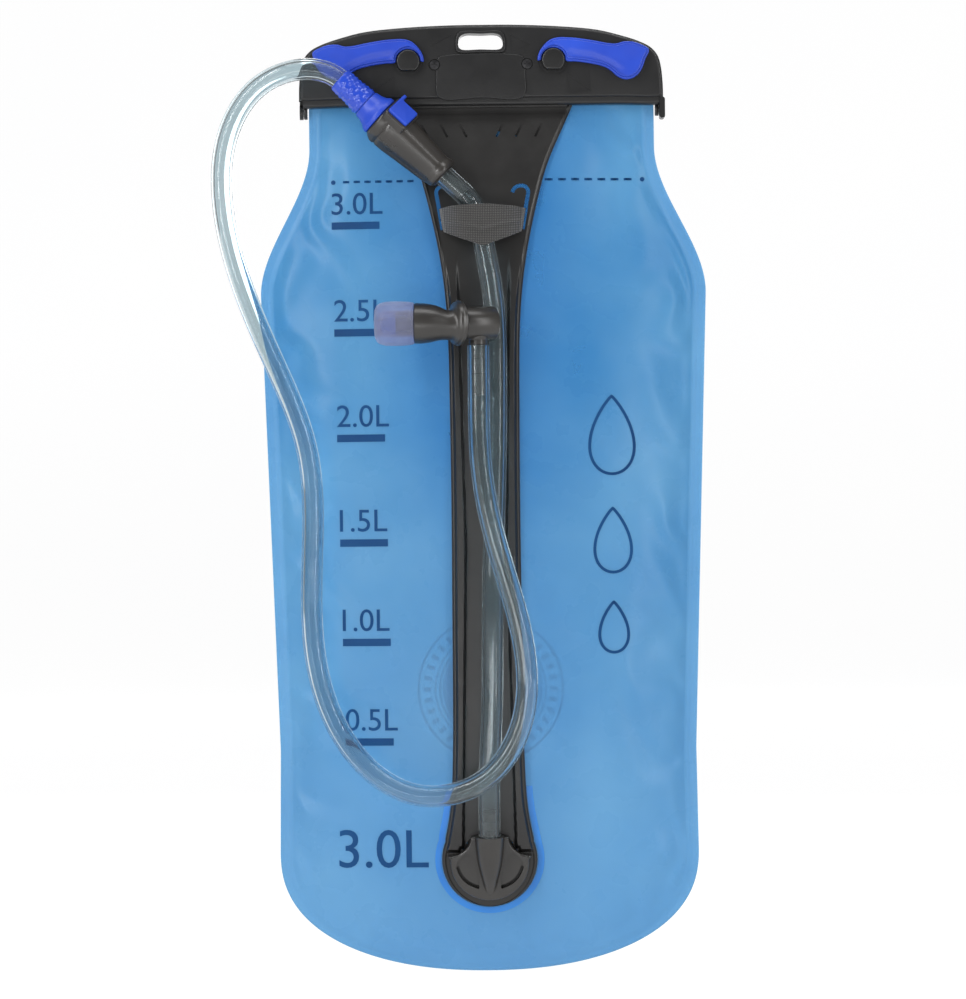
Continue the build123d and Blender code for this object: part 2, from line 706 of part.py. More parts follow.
def valve_barrel():
    """Fixed barrel across the tube end, with a barb down into the tube."""
    bore = Pos(0, 0, 2.6) * Cylinder(BARREL_BORE_R, BARREL_LEN)
    body = VALVE * (Cylinder(BARREL_R, BARREL_LEN) - bore)
    neck = Pos(VALVE_CENTRE[0], VALVE_CENTRE[1], -131.6) * Cylinder(3.9, 4.0)
    barb = Pos(VALVE_CENTRE[0], VALVE_CENTRE[1], -143.5) * Cylinder(BARB_R, 23.0)
    body += neck + barb
    body -= VALVE * bore
    body -= Pos(VALVE_CENTRE[0], VALVE_CENTRE[1], -143.0) * Cylinder(TUBE_PASSAGE_R, 30.0)
    return body


def bend_path():
    """Arc and straight line along the bite elbow, in the valve's own frame."""
    start = BARREL_LEN / 2 + 3.0
    turn = math.radians(BEND)
    spots = []
    for angle in (0.0, turn / 2, turn):
        spots.append((0, BEND_R * (1.0 - math.cos(angle)), start + BEND_R * math.sin(angle)))
    stop = spots[-1]
    end = (0, stop[1] + BEND_TAIL * math.sin(turn), stop[2] + BEND_TAIL * math.cos(turn))
    return ThreePointArc(*spots).edge(), Line(stop, end).edge()


def elbow_tip():
    """Plane at the open end of the bite elbow, in the valve's own frame."""
    line = bend_path()[1]
    return Plane(origin=line @ 1, x_dir=(1, 0, 0), z_dir=line % 1)


def bite_elbow():
    """Swivelling elbow: spigot in the barrel, collar, bent pipe."""
    arc, line = bend_path()
    spigot = Pos(0, 0, 4.4) * Cylinder(4.9, 9.0)
    spigot -= Pos(0, 0, 3.0) * Torus(4.9, 0.9)
    collar = Pos(0, 0, BARREL_LEN / 2 + 1.7) * Cylinder(9.8, 3.2)
    pipe = rod_along(arc, PIPE_R) + rod_along(line, PIPE_R)
    passage = rod_along(arc, PASSAGE_R) + rod_along(line, PASSAGE_R)
    nose = elbow_tip() * (Pos(0, 0, 2.9) * Cylinder(5.6, 6.0))
    body = spigot + collar + pipe + nose
    body -= passage
    body -= Pos(0, 0, 5.0) * Cylinder(PASSAGE_R, 14.5)
    body -= elbow_tip() * (Pos(0, 0, 2.0) * Cylinder(PASSAGE_R, 9.0))
    return VALVE * body


def elbow_o_ring():
    """Seal the elbow turns on inside the barrel."""
    return VALVE * (Pos(0, 0, 3.0) * Torus(4.5, 0.45))


def bite_mouthpiece():
    """Soft silicone mouthpiece over the end of the elbow."""
    profile = [
        (5.7, 0.15), (8.9, 0.15), (9.5, 3.0), (9.6, 11.0), (9.2, 14.5), (7.2, 16.8),
        (1.2, 17.2), (1.2, 15.6), (5.7, 14.6)]
    face = Plane.XZ * make_face(Polyline(*profile, profile[0]))
    return VALVE * (elbow_tip() * revolve(face, axis=Axis.Z))


# ---- write every node ----

save("front_film", front_film())
back_low, back_high = back_film()
save("back_film", back_low)
save("back_film_mouth", back_high)
save("front_jaw", front_jaw())
save("front_cover", front_cover())
save("cover_screws", cover_screws())
save("hinge_pins", hinge_pins())
save("rear_jaw", rear_jaw())
save("mouth_seal", mouth_seal())
lever_r, lever_l = both_sides(lever)
save("lever_right", lever_r)
save("lever_left", lever_l)
shaft_r, shaft_l = both_sides(latch_shaft)
save("latch_shaft_right", shaft_r)
save("latch_shaft_left", shaft_l)
save("spine_panel", spine_panel())
save("port_flange", port_flange())
save("port_o_ring", port_o_ring())
save("outlet_elbow", outlet_elbow())
save("tube_strap", tube_strap())
save("feed_tube", feed_tube())
save("drink_tube", drink_tube())
save("socket_body", socket_body())
save("socket_tail", socket_tail())
save("valve_poppet", valve_poppet())
save("poppet_o_ring", poppet_o_ring())
save("poppet_spring", poppet_spring())
save("release_button", release_button())
save("button_springs", button_springs())
save("connector_plug", connector_plug())
save("plug_o_ring", plug_o_ring())
save("strain_relief", strain_relief())
save("valve_barrel", valve_barrel())
save("bite_elbow", bite_elbow())
save("elbow_o_ring", elbow_o_ring())
save("bite_mouthpiece", bite_mouthpiece())
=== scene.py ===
import math

import bmesh
import bpy
import numpy as np
from mathutils import Matrix, Vector, kdtree, noise
from mathutils.geometry import delaunay_2d_cdt


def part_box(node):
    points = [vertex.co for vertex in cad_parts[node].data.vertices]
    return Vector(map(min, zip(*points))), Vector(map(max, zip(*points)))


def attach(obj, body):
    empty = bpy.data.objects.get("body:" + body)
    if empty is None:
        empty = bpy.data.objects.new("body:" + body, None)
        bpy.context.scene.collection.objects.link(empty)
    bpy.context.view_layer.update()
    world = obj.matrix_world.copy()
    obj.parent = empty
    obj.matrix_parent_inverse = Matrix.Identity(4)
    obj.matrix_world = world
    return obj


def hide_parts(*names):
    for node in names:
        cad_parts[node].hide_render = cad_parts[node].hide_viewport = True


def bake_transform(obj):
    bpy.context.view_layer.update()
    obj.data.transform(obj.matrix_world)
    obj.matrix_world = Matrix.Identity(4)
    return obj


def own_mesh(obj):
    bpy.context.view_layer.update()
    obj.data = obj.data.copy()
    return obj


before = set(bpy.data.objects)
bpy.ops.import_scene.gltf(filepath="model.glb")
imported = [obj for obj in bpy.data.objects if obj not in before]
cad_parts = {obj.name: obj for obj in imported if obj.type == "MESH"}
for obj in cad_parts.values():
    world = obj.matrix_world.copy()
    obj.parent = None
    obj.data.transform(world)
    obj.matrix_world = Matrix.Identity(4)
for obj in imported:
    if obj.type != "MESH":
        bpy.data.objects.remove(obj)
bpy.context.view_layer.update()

# The visual model of a hydration bladder. Shapes are worked out in
# millimetres in the CAD frame (front faces -Y, +Z up) and written in metres.
MM = 0.001


def node_box(name):
    """Lowest and highest corners of a CAD node, in millimetres."""
    low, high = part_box(name)
    return [c / MM for c in low], [c / MM for c in high]


# ---------------------------------------------------------------- frame sizes
FILM_LOW, FILM_HIGH = node_box("front_film")
BODY_BOTTOM = FILM_LOW[2]
FILM_TOP = FILM_HIGH[2]
CAD_FILM = 0.5
SHOULDER_HALF = FILM_HIGH[0] - CAD_FILM
BULGE = -FILM_LOW[1]
BULGE_POWER = 3.2
BULGE_SOFTNESS = 0.9
HEEL_CROSS_POWER = 2.2
HEEL_DROP_POWER = 2.35
NECK_HALF = 75.8
LOW_HALF = 91.4
HEEL_HALF = 92.0
SHOULDER_START = -46.0
SHOULDER_END = -110.0
TAPER_END = -310.0
HEEL_START = -355.0
WELD_BAND = 5.0
BULGE_MID = -219.0
BULGE_HALF_HEIGHT = 188.7
BAR_BOTTOM = -27.7
LEVER_X = 31.8
LEVER_Z = -8.5
LEVER_BACK_Y = -9.3
LEVER_FRONT_Y = -13.2
SHAFT_R = 2.95
SHAFT_HOLE_R = 3.1
SCREW_X = 20.3
SCREW_Z = -9.9
LUG_X = 77.15
HINGE_Z = -29.5
PORT_Z = -358.0
SPINE_END_R = 20.9
TUBE_R = 4.75
BORE_R = 3.2
TUBE_OFFSET = 8.6
CONNECTOR_FOOT = Vector((-16.8, -20.5, -59.0))
CONNECTOR_AXIS = Vector((-0.728, 0.0, 0.686)).normalized()
CONNECTOR_SIDE = Vector((0.686, 0.0, 0.728)).normalized()
VALVE_CENTRE = Vector((-2.5, -38.2, -124.3))
VALVE_YAW = math.radians(22.0)


def smooth(t):
    """Ease from 0 to 1 with flat ends."""
    t = min(max(t, 0.0), 1.0)
    return t * t * (3.0 - 2.0 * t)


def side_half(z):
    """Half-width of the bag at height z, without the rounded heel."""
    if z > SHOULDER_END:
        t = (SHOULDER_START - z) / (SHOULDER_START - SHOULDER_END)
        return NECK_HALF + (SHOULDER_HALF - NECK_HALF) * smooth(t)
    if z > TAPER_END:
        t = (SHOULDER_END - z) / (SHOULDER_END - TAPER_END)
        return SHOULDER_HALF + (LOW_HALF - SHOULDER_HALF) * t
    t = min((TAPER_END - z) / (TAPER_END - HEEL_START), 1.0)
    return LOW_HALF + (HEEL_HALF - LOW_HALF) * t


def heel_z(x):
    """Height of the rounded bottom edge at x."""
    ratio = min(abs(x) / HEEL_HALF, 1.0)
    drop = (1.0 - ratio ** HEEL_CROSS_POWER) ** (1.0 / HEEL_DROP_POWER)
    return HEEL_START - (HEEL_START - BODY_BOTTOM) * drop


def bulge(z):
    """How far the filled film stands out from the weld plane at height z."""
    v = min(abs(z - BULGE_MID) / BULGE_HALF_HEIGHT, 1.0)
    return BULGE * (1.0 - v ** BULGE_POWER) ** BULGE_SOFTNESS


def outline_tree():
    """Search tree over points along the bag's outline, for distances to the weld."""
    points = []
    for i in range(420):
        z = FILM_TOP + (HEEL_START - FILM_TOP) * i / 419
        points.append((side_half(z), z))
        points.append((-side_half(z), z))
    for i in range(401):
        x = -HEEL_HALF * math.cos(math.pi * i / 400)
        points.append((x, heel_z(x)))
    tree = kdtree.KDTree(len(points))
    for i, (x, z) in enumerate(points):
        tree.insert(Vector((x, 0.0, z)), i)
    tree.balance()
    return tree


OUTLINE = outline_tree()


def edge_distance(x, z):
    """Distance from a point of the bag to its outline."""
    return OUTLINE.find(Vector((x, 0.0, z)))[2]


# ---------------------------------------------------------------- mesh helpers

def new_object(name, verts, faces, material, sharp=None):
    """Object from millimetre points; smooth shaded, sharp above an angle if asked."""
    mesh = bpy.data.meshes.new(name)
    mesh.from_pydata([(x * MM, y * MM, z * MM) for x, y, z in verts], [], faces)
    mesh.validate()
    return finish_object(name, mesh, material, sharp)


def finish_object(name, mesh, material, sharp=None):
    """Link a mesh as an object with outward normals and one material."""
    bm = bmesh.new()
    bm.from_mesh(mesh)
    bmesh.ops.remove_doubles(bm, verts=bm.verts, dist=1e-7)
    bmesh.ops.recalc_face_normals(bm, faces=bm.faces)
    if bm.calc_volume(signed=True) < 0:
        bmesh.ops.reverse_faces(bm, faces=bm.faces)
    bm.to_mesh(mesh)
    bm.free()
    mesh.shade_smooth()
    if sharp is not None:
        mesh.set_sharp_from_angle(angle=math.radians(sharp))
    mesh.materials.clear()
    mesh.materials.append(material)
    obj = bpy.data.objects.new(name, mesh)
    bpy.context.scene.collection.objects.link(obj)
    return obj


def ring_faces(rings, count, closed=True, first=0):
    """Quads between neighbouring rings of count points."""
    faces = []
    span = count if closed else count - 1
    for r in range(rings - 1):
        for i in range(span):
            j = (i + 1) % count
            a = first + r * count
            b = a + count
            faces.append((a + i, a + j, b + j, b + i))
    return faces


def shell_faces(grid, total):
    """Faces of a closed sheet: a grid, its copy on the far side and the rim between them."""
    edges = {}
    for face in grid:
        for a, b in zip(face, face[1:] + face[:1]):
            if (b, a) in edges:
                del edges[(b, a)]
            else:
                edges[(a, b)] = True
    far_side = [tuple(total + i for i in reversed(face)) for face in grid]
    return list(grid) + far_side + [(b, a, total + a, total + b) for a, b in edges]


def tube_faces(count, sides):
    """Faces of a hollow tube: outer skin, inner skin and a flat ring at both ends."""
    faces = ring_faces(count, sides) + ring_faces(count, sides, first=count * sides)
    for end in (0, count - 1):
        for i in range(sides):
            j = (i + 1) % sides
            a = end * sides
            b = (count + end) * sides
            faces.append((a + i, a + j, b + j, b + i))
    return faces


def place_piece(obj, body, *nodes):
    """Carry a piece on a body, in place of the CAD nodes that are named."""
    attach(obj, body)
    if nodes:
        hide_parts(*nodes)


def axes_at(origin, x_axis, y_axis, z_axis):
    """Local frame with the given axes at a point."""
    return Matrix.Translation(origin) @ Matrix((x_axis, y_axis, z_axis)).transposed().to_4x4()


def lathe(name, profile, material, place=None, sides=64, sharp=35):
    """Turn (radius, height) points about local Z; closed if the profile is a loop."""
    place = place or Matrix.Identity(4)
    verts = []
    for radius, height in profile:
        for i in range(sides):
            a = 2 * math.pi * i / sides
            verts.append(place @ Vector((radius * math.cos(a), radius * math.sin(a), height)))
    faces = ring_faces(len(profile), sides)
    loop = Vector(profile[0]) - Vector(profile[-1])
    if loop.length > 1e-6:
        last = (len(profile) - 1) * sides
        faces.append(tuple(range(sides)))
        faces.append(tuple(range(last, last + sides)))
    return new_object(name, verts, faces, material, sharp)


def spline_points(points, spacing):
    """Natural cubic spline through points, sampled at an even spacing."""
    p = np.array(points, dtype=float)
    gaps = np.linalg.norm(np.diff(p, axis=0), axis=1)
    t = np.concatenate([[0.0], np.cumsum(gaps)])
    n = len(p)
    a = np.zeros((n, n))
    rhs = np.zeros((n, p.shape[1]))
    a[0, 0] = 1.0
    a[-1, -1] = 1.0
    for i in range(1, n - 1):
        h0, h1 = gaps[i - 1], gaps[i]
        a[i, i - 1] = h0
        a[i, i] = 2 * (h0 + h1)
        a[i, i + 1] = h1
        rhs[i] = 6 * ((p[i + 1] - p[i]) / h1 - (p[i] - p[i - 1]) / h0)
    m = np.linalg.solve(a, rhs)
    count = max(int(t[-1] / spacing), 2)
    out = []
    for s in np.linspace(0, t[-1], count + 1):
        i = min(int(np.searchsorted(t, s, side="right")) - 1, n - 2)
        h = gaps[i]
        u = (t[i + 1] - s) / h
        v = (s - t[i]) / h
        q = u * p[i] + v * p[i + 1] + ((u ** 3 - u) * m[i] + (v ** 3 - v) * m[i + 1]) * h * h / 6
        out.append(q)
    return np.array(out)


def path_frames(points):
    """Tangent and two steady normals at each point of a path."""
    tangents = np.gradient(points, axis=0)
    tangents /= np.linalg.norm(tangents, axis=1)[:, None]
    side = np.cross(tangents[0], (0.0, 1.0, 0.0))
    if np.linalg.norm(side) < 0.1:
        side = np.cross(tangents[0], (1.0, 0.0, 0.0))
    frames = []
    for tangent in tangents:
        side = side - tangent * np.dot(side, tangent)
        side /= np.linalg.norm(side)
        frames.append((side.copy(), np.cross(tangent, side)))
    return frames


def tube_rings(points, radius, sides):
    """Vertex rings round a path; radius is a number or a function of the ring index."""
    verts = []
    for k, (centre, (u, v)) in enumerate(zip(points, path_frames(points))):
        r = radius(k) if callable(radius) else radius
        for i in range(sides):
            a = 2 * math.pi * i / sides
            verts.append(tuple(centre + r * (math.cos(a) * u + math.sin(a) * v)))
    return verts


def hollow_tube(name, points, outer, inner, material, sides=40):
    """Tube with a real bore and closed ring ends."""
    verts = tube_rings(points, outer, sides) + tube_rings(points, inner, sides)
    return new_object(name, verts, tube_faces(len(points), sides), material, 50)


def closed_curve(points, per_span=6):
    """Centripetal closed curve through 2-D points."""
    n = len(points)
    out = []
    for k in range(n):
        p0, p1, p2, p3 = (np.array(points[(k + o) % n], dtype=float) for o in (-1, 0, 1, 2))
        k0, k1, k2 = (max(np.linalg.norm(b - a), 1e-6) ** 0.5 for a, b in ((p0, p1), (p1, p2), (p2, p3)))
        m1 = (p2 - p1) + k1 * ((p1 - p0) / k0 - (p2 - p0) / (k0 + k1))
        m2 = (p2 - p1) + k1 * ((p3 - p2) / k2 - (p3 - p1) / (k1 + k2))
        for i in range(per_span):
            t = i / per_span
            a = 2 * p1 - 2 * p2 + m1 + m2
            b = -3 * p1 + 3 * p2 - 2 * m1 - m2
            out.append(tuple(a * t ** 3 + b * t ** 2 + m1 * t + p1))
    return out


def inward_normals(outline):
    """Unit normals pointing into an outline."""
    n = len(outline)
    area = sum(outline[i - 1][0] * outline[i][1] - outline[i][0] * outline[i - 1][1] for i in range(n))
    turn = 1.0 if area > 0 else -1.0
    normals = []
    for i in range(n):
        ax, az = outline[i - 1]
        bx, bz = outline[(i + 1) % n]
        dx, dz = bx - ax, bz - az
        size = math.hypot(dx, dz) or 1.0
        normals.append((-turn * dz / size, turn * dx / size))
    return normals


def wall_room(outline, normals):
    """How deep each point may move inward before it meets the far side."""
    p = np.array(outline)
    q = np.roll(p, -1, axis=0)
    room = []
    for (x, z), (nx, nz) in zip(outline, normals):
        ex, ez = q[:, 0] - p[:, 0], q[:, 1] - p[:, 1]
        cross = nx * ez - nz * ex
        cross[np.abs(cross) < 1e-9] = 1e-9
        reach = ((p[:, 0] - x) * ez - (p[:, 1] - z) * ex) / cross
        along = ((p[:, 0] - x) * nz - (p[:, 1] - z) * nx) / cross
        hits = reach[(reach > 0.05) & (along >= 0) & (along <= 1)]
        room.append(0.42 * hits.min() if len(hits) else 1e9)
    low = np.minimum.reduce([np.roll(room, k) for k in range(-4, 5)])
    return [float(v) for v in low]


def inward(outline, amount):
    """Outline moved inward, by less where the shape is thin."""
    normals = inward_normals(outline)
    room = wall_room(outline, normals)
    return [
        (x + nx * min(amount, r), z + nz * min(amount, r))
        for (x, z), (nx, nz), r in zip(outline, normals, room)]


def cap(outline, spacing=None):
    """Triangles that fill an outline, with an even grid of inner points if asked."""
    points = [Vector(p) for p in outline]
    edges = [(i, (i + 1) % len(points)) for i in range(len(points))]
    if spacing:
        low = [min(p[k] for p in outline) for k in (0, 1)]
        high = [max(p[k] for p in outline) for k in (0, 1)]
        ring = np.array(outline)
        for i in range(int((high[0] - low[0]) / spacing) + 1):
            for j in range(int((high[1] - low[1]) / spacing) + 1):
                spot = (low[0] + (i + 0.5 * (j % 2)) * spacing, low[1] + j * spacing)
                if np.min(np.hypot(ring[:, 0] - spot[0], ring[:, 1] - spot[1])) > 0.55 * spacing:
                    points.append(Vector(spot))
    verts, _, faces, _, _, _ = delaunay_2d_cdt(points, edges, [], 1, 1e-5)
    return [(v.x, v.y) for v in verts], [tuple(f) for f in faces]


def rounded_plate(
        name, outline, front, back, radius, material, back_radius=0.3, place=None, steps=5, step=None,
        relief=None):
    """Plate from an XZ outline between two depths, with rounded rims.

    step = (inset, depth) adds a lower ledge round the rim at that depth;
    relief(x, z) sinks the front face by that many millimetres.
    """
    layers = []
    for k in range(3):
        a = math.pi / 2 * k / 2
        layers.append((back_radius * (1 - math.sin(a)), back - back_radius * (1 - math.cos(a))))
    ledge = 0.0
    if step:
        for k in range(steps + 1):
            a = math.pi / 2 * k / steps
            layers.append((radius * (1 - math.cos(a)), step[1] + radius * (1 - math.sin(a))))
        ledge = radius + step[0]
        layers.append((ledge, step[1]))
    for k in range(steps + 1):
        a = math.pi / 2 * k / steps
        layers.append((ledge + radius * (1 - math.cos(a)), front + radius * (1 - math.sin(a))))
    place = place or Matrix.Identity(4)
    normals = inward_normals(outline)
    room = wall_room(outline, normals)
    verts = []
    for inset, depth in layers:
        for (x, z), (nx, nz), r in zip(outline, normals, room):
            move = min(inset, r)
            verts.append(place @ Vector((x + nx * move, depth, z + nz * move)))
    n = len(outline)
    faces = ring_faces(len(layers), n)
    for (inset, depth), spacing in ((layers[0], None), (layers[-1], 1.0 if relief else None)):
        loop = [
            (x + nx * min(inset, r), z + nz * min(inset, r))
            for (x, z), (nx, nz), r in zip(outline, normals, room)]
        spots, triangles = cap(loop, spacing)
        base = len(verts)
        for x, z in spots:
            sunk = relief(x, z) if spacing else 0.0
            verts.append(place @ Vector((x, depth + sunk, z)))
        faces += [tuple(base + i for i in triangle) for triangle in triangles]
    return new_object(name, verts, faces, material, 40)


def volume(mesh):
    """Enclosed volume of a closed mesh."""
    bm = bmesh.new()
    bm.from_mesh(mesh)
    amount = abs(bm.calc_volume())
    bm.free()
    return amount


def apply_modifiers(obj):
    """Turn the modified shape into the object's own mesh."""
    bpy.context.view_layer.update()
    shown = obj.evaluated_get(bpy.context.evaluated_depsgraph_get())
    mesh = bpy.data.meshes.new_from_object(shown)
    obj.modifiers.clear()
    obj.data = mesh
    return obj


def merge_shells(obj, other):
    """Add the faces of another object to an object's mesh."""
    both = bmesh.new()
    both.from_mesh(obj.data)
    both.from_mesh(other.data)
    both.to_mesh(obj.data)
    both.free()


# a join must keep nearly the volume of its largest part, and a cut must leave some and add none
UNION_KEEPS = 0.995
CUT_LEAVES = 0.05
CUT_GROWS = 1.001


def boolean(obj, others, operation="DIFFERENCE", sharp=35):
    """Cut or join other objects, which are used up.

    A join that would lose volume keeps the parts as overlapping shells, and a
    cut that fails is left out.
    """
    material = obj.data.materials[0]
    for other in others:
        before = obj.data.copy()
        largest = max(volume(before), volume(other.data))
        modifier = obj.modifiers.new("join", "BOOLEAN")
        modifier.operation = operation
        modifier.solver = "EXACT"
        modifier.object = other
        apply_modifiers(obj)
        after = volume(obj.data)
        whole = volume(before)
        if operation == "UNION" and after < largest * UNION_KEEPS:
            obj.data = before
            merge_shells(obj, other)
        elif operation == "DIFFERENCE" and not CUT_LEAVES * whole <= after <= CUT_GROWS * whole:
            obj.data = before
        bpy.data.objects.remove(other)
    obj.data.materials.clear()
    obj.data.materials.append(material)
    for polygon in obj.data.polygons:
        polygon.material_index = 0
    obj.data.shade_smooth()
    obj.data.set_sharp_from_angle(angle=math.radians(sharp))
    return obj


def rounded_corners(points, radius, steps=5):
    """Polygon with its corners rounded."""
    out = []
    n = len(points)
    for i in range(n):
        corner = Vector(points[i])
        before = (Vector(points[i - 1]) - corner)
        after = (Vector(points[(i + 1) % n]) - corner)
        reach = min(radius, before.length * 0.49, after.length * 0.49)
        start = corner + before.normalized() * reach
        end = corner + after.normalized() * reach
        for k in range(steps + 1):
            t = k / steps
            spot = start * (1 - t) ** 2 + corner * 2 * t * (1 - t) + end * t * t
            out.append((spot.x, spot.y))
    return out


def rectangle(cx, cz, width, height, corner, steps=6):
    """Rounded rectangle outline in XZ."""
    points = []
    for sx, sz, start in ((1, 1, 0), (-1, 1, 90), (-1, -1, 180), (1, -1, 270)):
        for k in range(steps + 1):
            a = math.radians(start + 90 * k / steps)
            points.append((
                cx + sx * (width / 2 - corner) + corner * math.cos(a),
                cz + sz * (height / 2 - corner) + corner * math.sin(a)))
    return points


def circle(cx, cz, radius, count=48):
    """Circle outline in XZ."""
    return [
        (cx + radius * math.cos(2 * math.pi * k / count), cz + radius * math.sin(2 * math.pi * k / count))
        for k in range(count)]


def sided(side, outline):
    """Outline as it is for side 1, mirrored in X for side -1."""
    return [(side * x, z) for x, z in outline]


# ---------------------------------------------------------------- materials

class Nodes:
    """Small helper to build a node material."""

    def __init__(self, name):
        self.material = bpy.data.materials.new(name)
        self.material.use_nodes = True
        self.tree = self.material.node_tree
        self.tree.nodes.clear()
        self.output = self.add("ShaderNodeOutputMaterial")

    def add(self, kind, **values):
        node = self.tree.nodes.new(kind)
        for key, value in values.items():
            if key in node.inputs:
                node.inputs[key].default_value = value
            else:
                setattr(node, key, value)
        return node

    def link(self, source, target):
        self.tree.links.new(source, target)

    def coordinates(self):
        return self.add("ShaderNodeTexCoord").outputs["Object"]

    def noise(self, scale, detail=3.0, rough=0.5):
        node = self.add("ShaderNodeTexNoise", Scale=scale, Detail=detail, Roughness=rough)
        self.link(self.coordinates(), node.inputs["Vector"])
        return node.outputs["Fac"]

    def ramp(self, source, low, high, start=0.3, end=0.7):
        node = self.add("ShaderNodeValToRGB")
        node.color_ramp.elements[0].position = start
        node.color_ramp.elements[1].position = end
        node.color_ramp.elements[0].color = low
        node.color_ramp.elements[1].color = high
        self.link(source, node.inputs["Fac"])
        return node.outputs["Color"]

    def bump(self, source, distance, strength=1.0):
        node = self.add("ShaderNodeBump", Strength=strength, Distance=distance)
        self.link(source, node.inputs["Height"])
        return node.outputs["Normal"]

    def scalar(self, source, low, high, start=0.0, end=1.0):
        node = self.add("ShaderNodeMapRange")
        node.inputs["From Min"].default_value = start
        node.inputs["From Max"].default_value = end
        node.inputs["To Min"].default_value = low
        node.inputs["To Max"].default_value = high
        self.link(source, node.inputs["Value"])
        return node.outputs["Result"]

    def attribute(self, name):
        return self.add("ShaderNodeAttribute", attribute_name=name).outputs["Fac"]

    def combine(self, operation, first, second):
        node = self.add("ShaderNodeMath", operation=operation)
        self.link(first, node.inputs[0])
        if isinstance(second, float):
            node.inputs[1].default_value = second
        else:
            self.link(second, node.inputs[1])
        return node.outputs[0]

    def tint(self, source, target, factor):
        node = self.add("ShaderNodeMix", data_type="RGBA")
        self.link(factor, node.inputs["Factor"])
        self.link(source, node.inputs[6])
        node.inputs[7].default_value = target
        return node.outputs[2]

    def mix(self, first, second, factor):
        node = self.add("ShaderNodeMixShader")
        if isinstance(factor, float):
            node.inputs["Fac"].default_value = factor
        else:
            self.link(factor, node.inputs["Fac"])
        self.link(first.outputs[0], node.inputs[1])
        self.link(second.outputs[0], node.inputs[2])
        return node

    def finish(self, shader):
        self.link(shader.outputs[0], self.output.inputs["Surface"])
        return self.material


def colour(r, g, b, a=1.0):
    """Colour given as 0-255 screen values."""
    def linear(c):
        c = c / 255.0
        return c / 12.92 if c <= 0.04045 else ((c + 0.055) / 1.055) ** 2.4
    return (linear(r), linear(g), linear(b), a)


def moulded(name, dark, light, rough, grain=0.00004, grain_scale=2600.0, coat=0.0, shine=0.5):
    """Moulded plastic: slow colour drift, fine grain and uneven gloss."""
    n = Nodes(name)
    shader = n.add("ShaderNodeBsdfPrincipled")
    n.link(n.ramp(n.noise(34.0, 4.0), dark, light), shader.inputs["Base Color"])
    n.link(n.scalar(n.noise(160.0, 5.0), rough - 0.06, rough + 0.08), shader.inputs["Roughness"])
    n.link(n.bump(n.noise(grain_scale, 2.0), grain, 0.6), shader.inputs["Normal"])
    shader.inputs["Specular IOR Level"].default_value = shine
    shader.inputs["Coat Weight"].default_value = coat
    shader.inputs["Coat Roughness"].default_value = 0.2
    return n.finish(shader)


def film_material():
    """Blue film: light passes through both as a glow and as a dim view."""
    n = Nodes("film_blue")
    body = n.ramp(n.noise(14.0, 3.0), colour(90, 164, 210), colour(148, 202, 228), 0.30, 0.70)
    # the weld band is paler, and the sheet gets paler towards the foot as painted light
    band = n.scalar(n.attribute("edge_mm"), 1.0, 0.0, 4.6, 5.6)
    position = n.add("ShaderNodeSeparateXYZ")
    n.link(n.coordinates(), position.inputs[0])
    # painted light: the sheet is tinted paler towards the foot
    foot = n.scalar(position.outputs["Z"], 0.0, 0.55, -0.12, -0.40)
    pale_weld_and_painted_light = n.combine("MAXIMUM", n.combine("MULTIPLY", band, 0.5), foot)
    body = n.tint(body, colour(164, 208, 238), pale_weld_and_painted_light)
    # painted shade: darker blue beside the top of the spine
    body = n.tint(body, colour(44, 130, 202), n.attribute("painted_spine_shade"))
    shader = n.add("ShaderNodeBsdfPrincipled")
    shader.inputs["Specular IOR Level"].default_value = 0.45
    n.link(body, shader.inputs["Base Color"])
    n.link(n.scalar(n.noise(60.0, 4.0), 0.22, 0.34), shader.inputs["Roughness"])
    n.link(n.bump(n.noise(120.0, 4.0), 0.0002, 0.3), shader.inputs["Normal"])
    glow = n.add("ShaderNodeBsdfTranslucent")
    n.link(body, glow.inputs["Color"])
    clear = n.add("ShaderNodeBsdfTransparent")
    clear.inputs["Color"].default_value = colour(198, 228, 242)
    return n.finish(n.mix(n.mix(shader, glow, 0.35), clear, 0.58))


def clear_tube_material(name, tint):
    """Clear soft tube: bends light like glass but lets lamps shine through."""
    n = Nodes(name)
    wall = n.add("ShaderNodeBsdfPrincipled", IOR=1.37)
    wall.inputs["Transmission Weight"].default_value = 0.985
    n.link(n.ramp(n.noise(20.0), tint, colour(216, 225, 228)), wall.inputs["Base Color"])
    n.link(n.scalar(n.noise(90.0, 3.0), 0.03, 0.08), wall.inputs["Roughness"])
    n.link(n.bump(n.noise(140.0, 2.0), 0.0001, 0.25), wall.inputs["Normal"])
    clear = n.add("ShaderNodeBsdfTransparent")
    clear.inputs["Color"].default_value = colour(236, 244, 248)
    rays = n.add("ShaderNodeLightPath")
    return n.finish(n.mix(wall, clear, rays.outputs["Is Shadow Ray"]))


def silicone_material():
    """Frosted silicone: cloudy, slightly violet, a little see-through."""
    n = Nodes("silicone_frosted")
    shader = n.add("ShaderNodeBsdfPrincipled")
    n.link(n.ramp(n.noise(70.0), colour(150, 156, 186), colour(190, 194, 214)), shader.inputs["Base Color"])
    shader.inputs["Subsurface Weight"].default_value = 0.3
    shader.inputs["Subsurface Radius"].default_value = (0.004, 0.004, 0.005)
    n.link(n.scalar(n.noise(200.0), 0.28, 0.40), shader.inputs["Roughness"])
    n.link(n.bump(n.noise(900.0), 0.00005, 0.4), shader.inputs["Normal"])
    clear = n.add("ShaderNodeBsdfTransparent")
    clear.inputs["Color"].default_value = colour(212, 216, 236)
    facing = n.add("ShaderNodeLayerWeight", Blend=0.3).outputs["Facing"]
    return n.finish(n.mix(shader, clear, n.scalar(facing, 0.80, 0.28)))


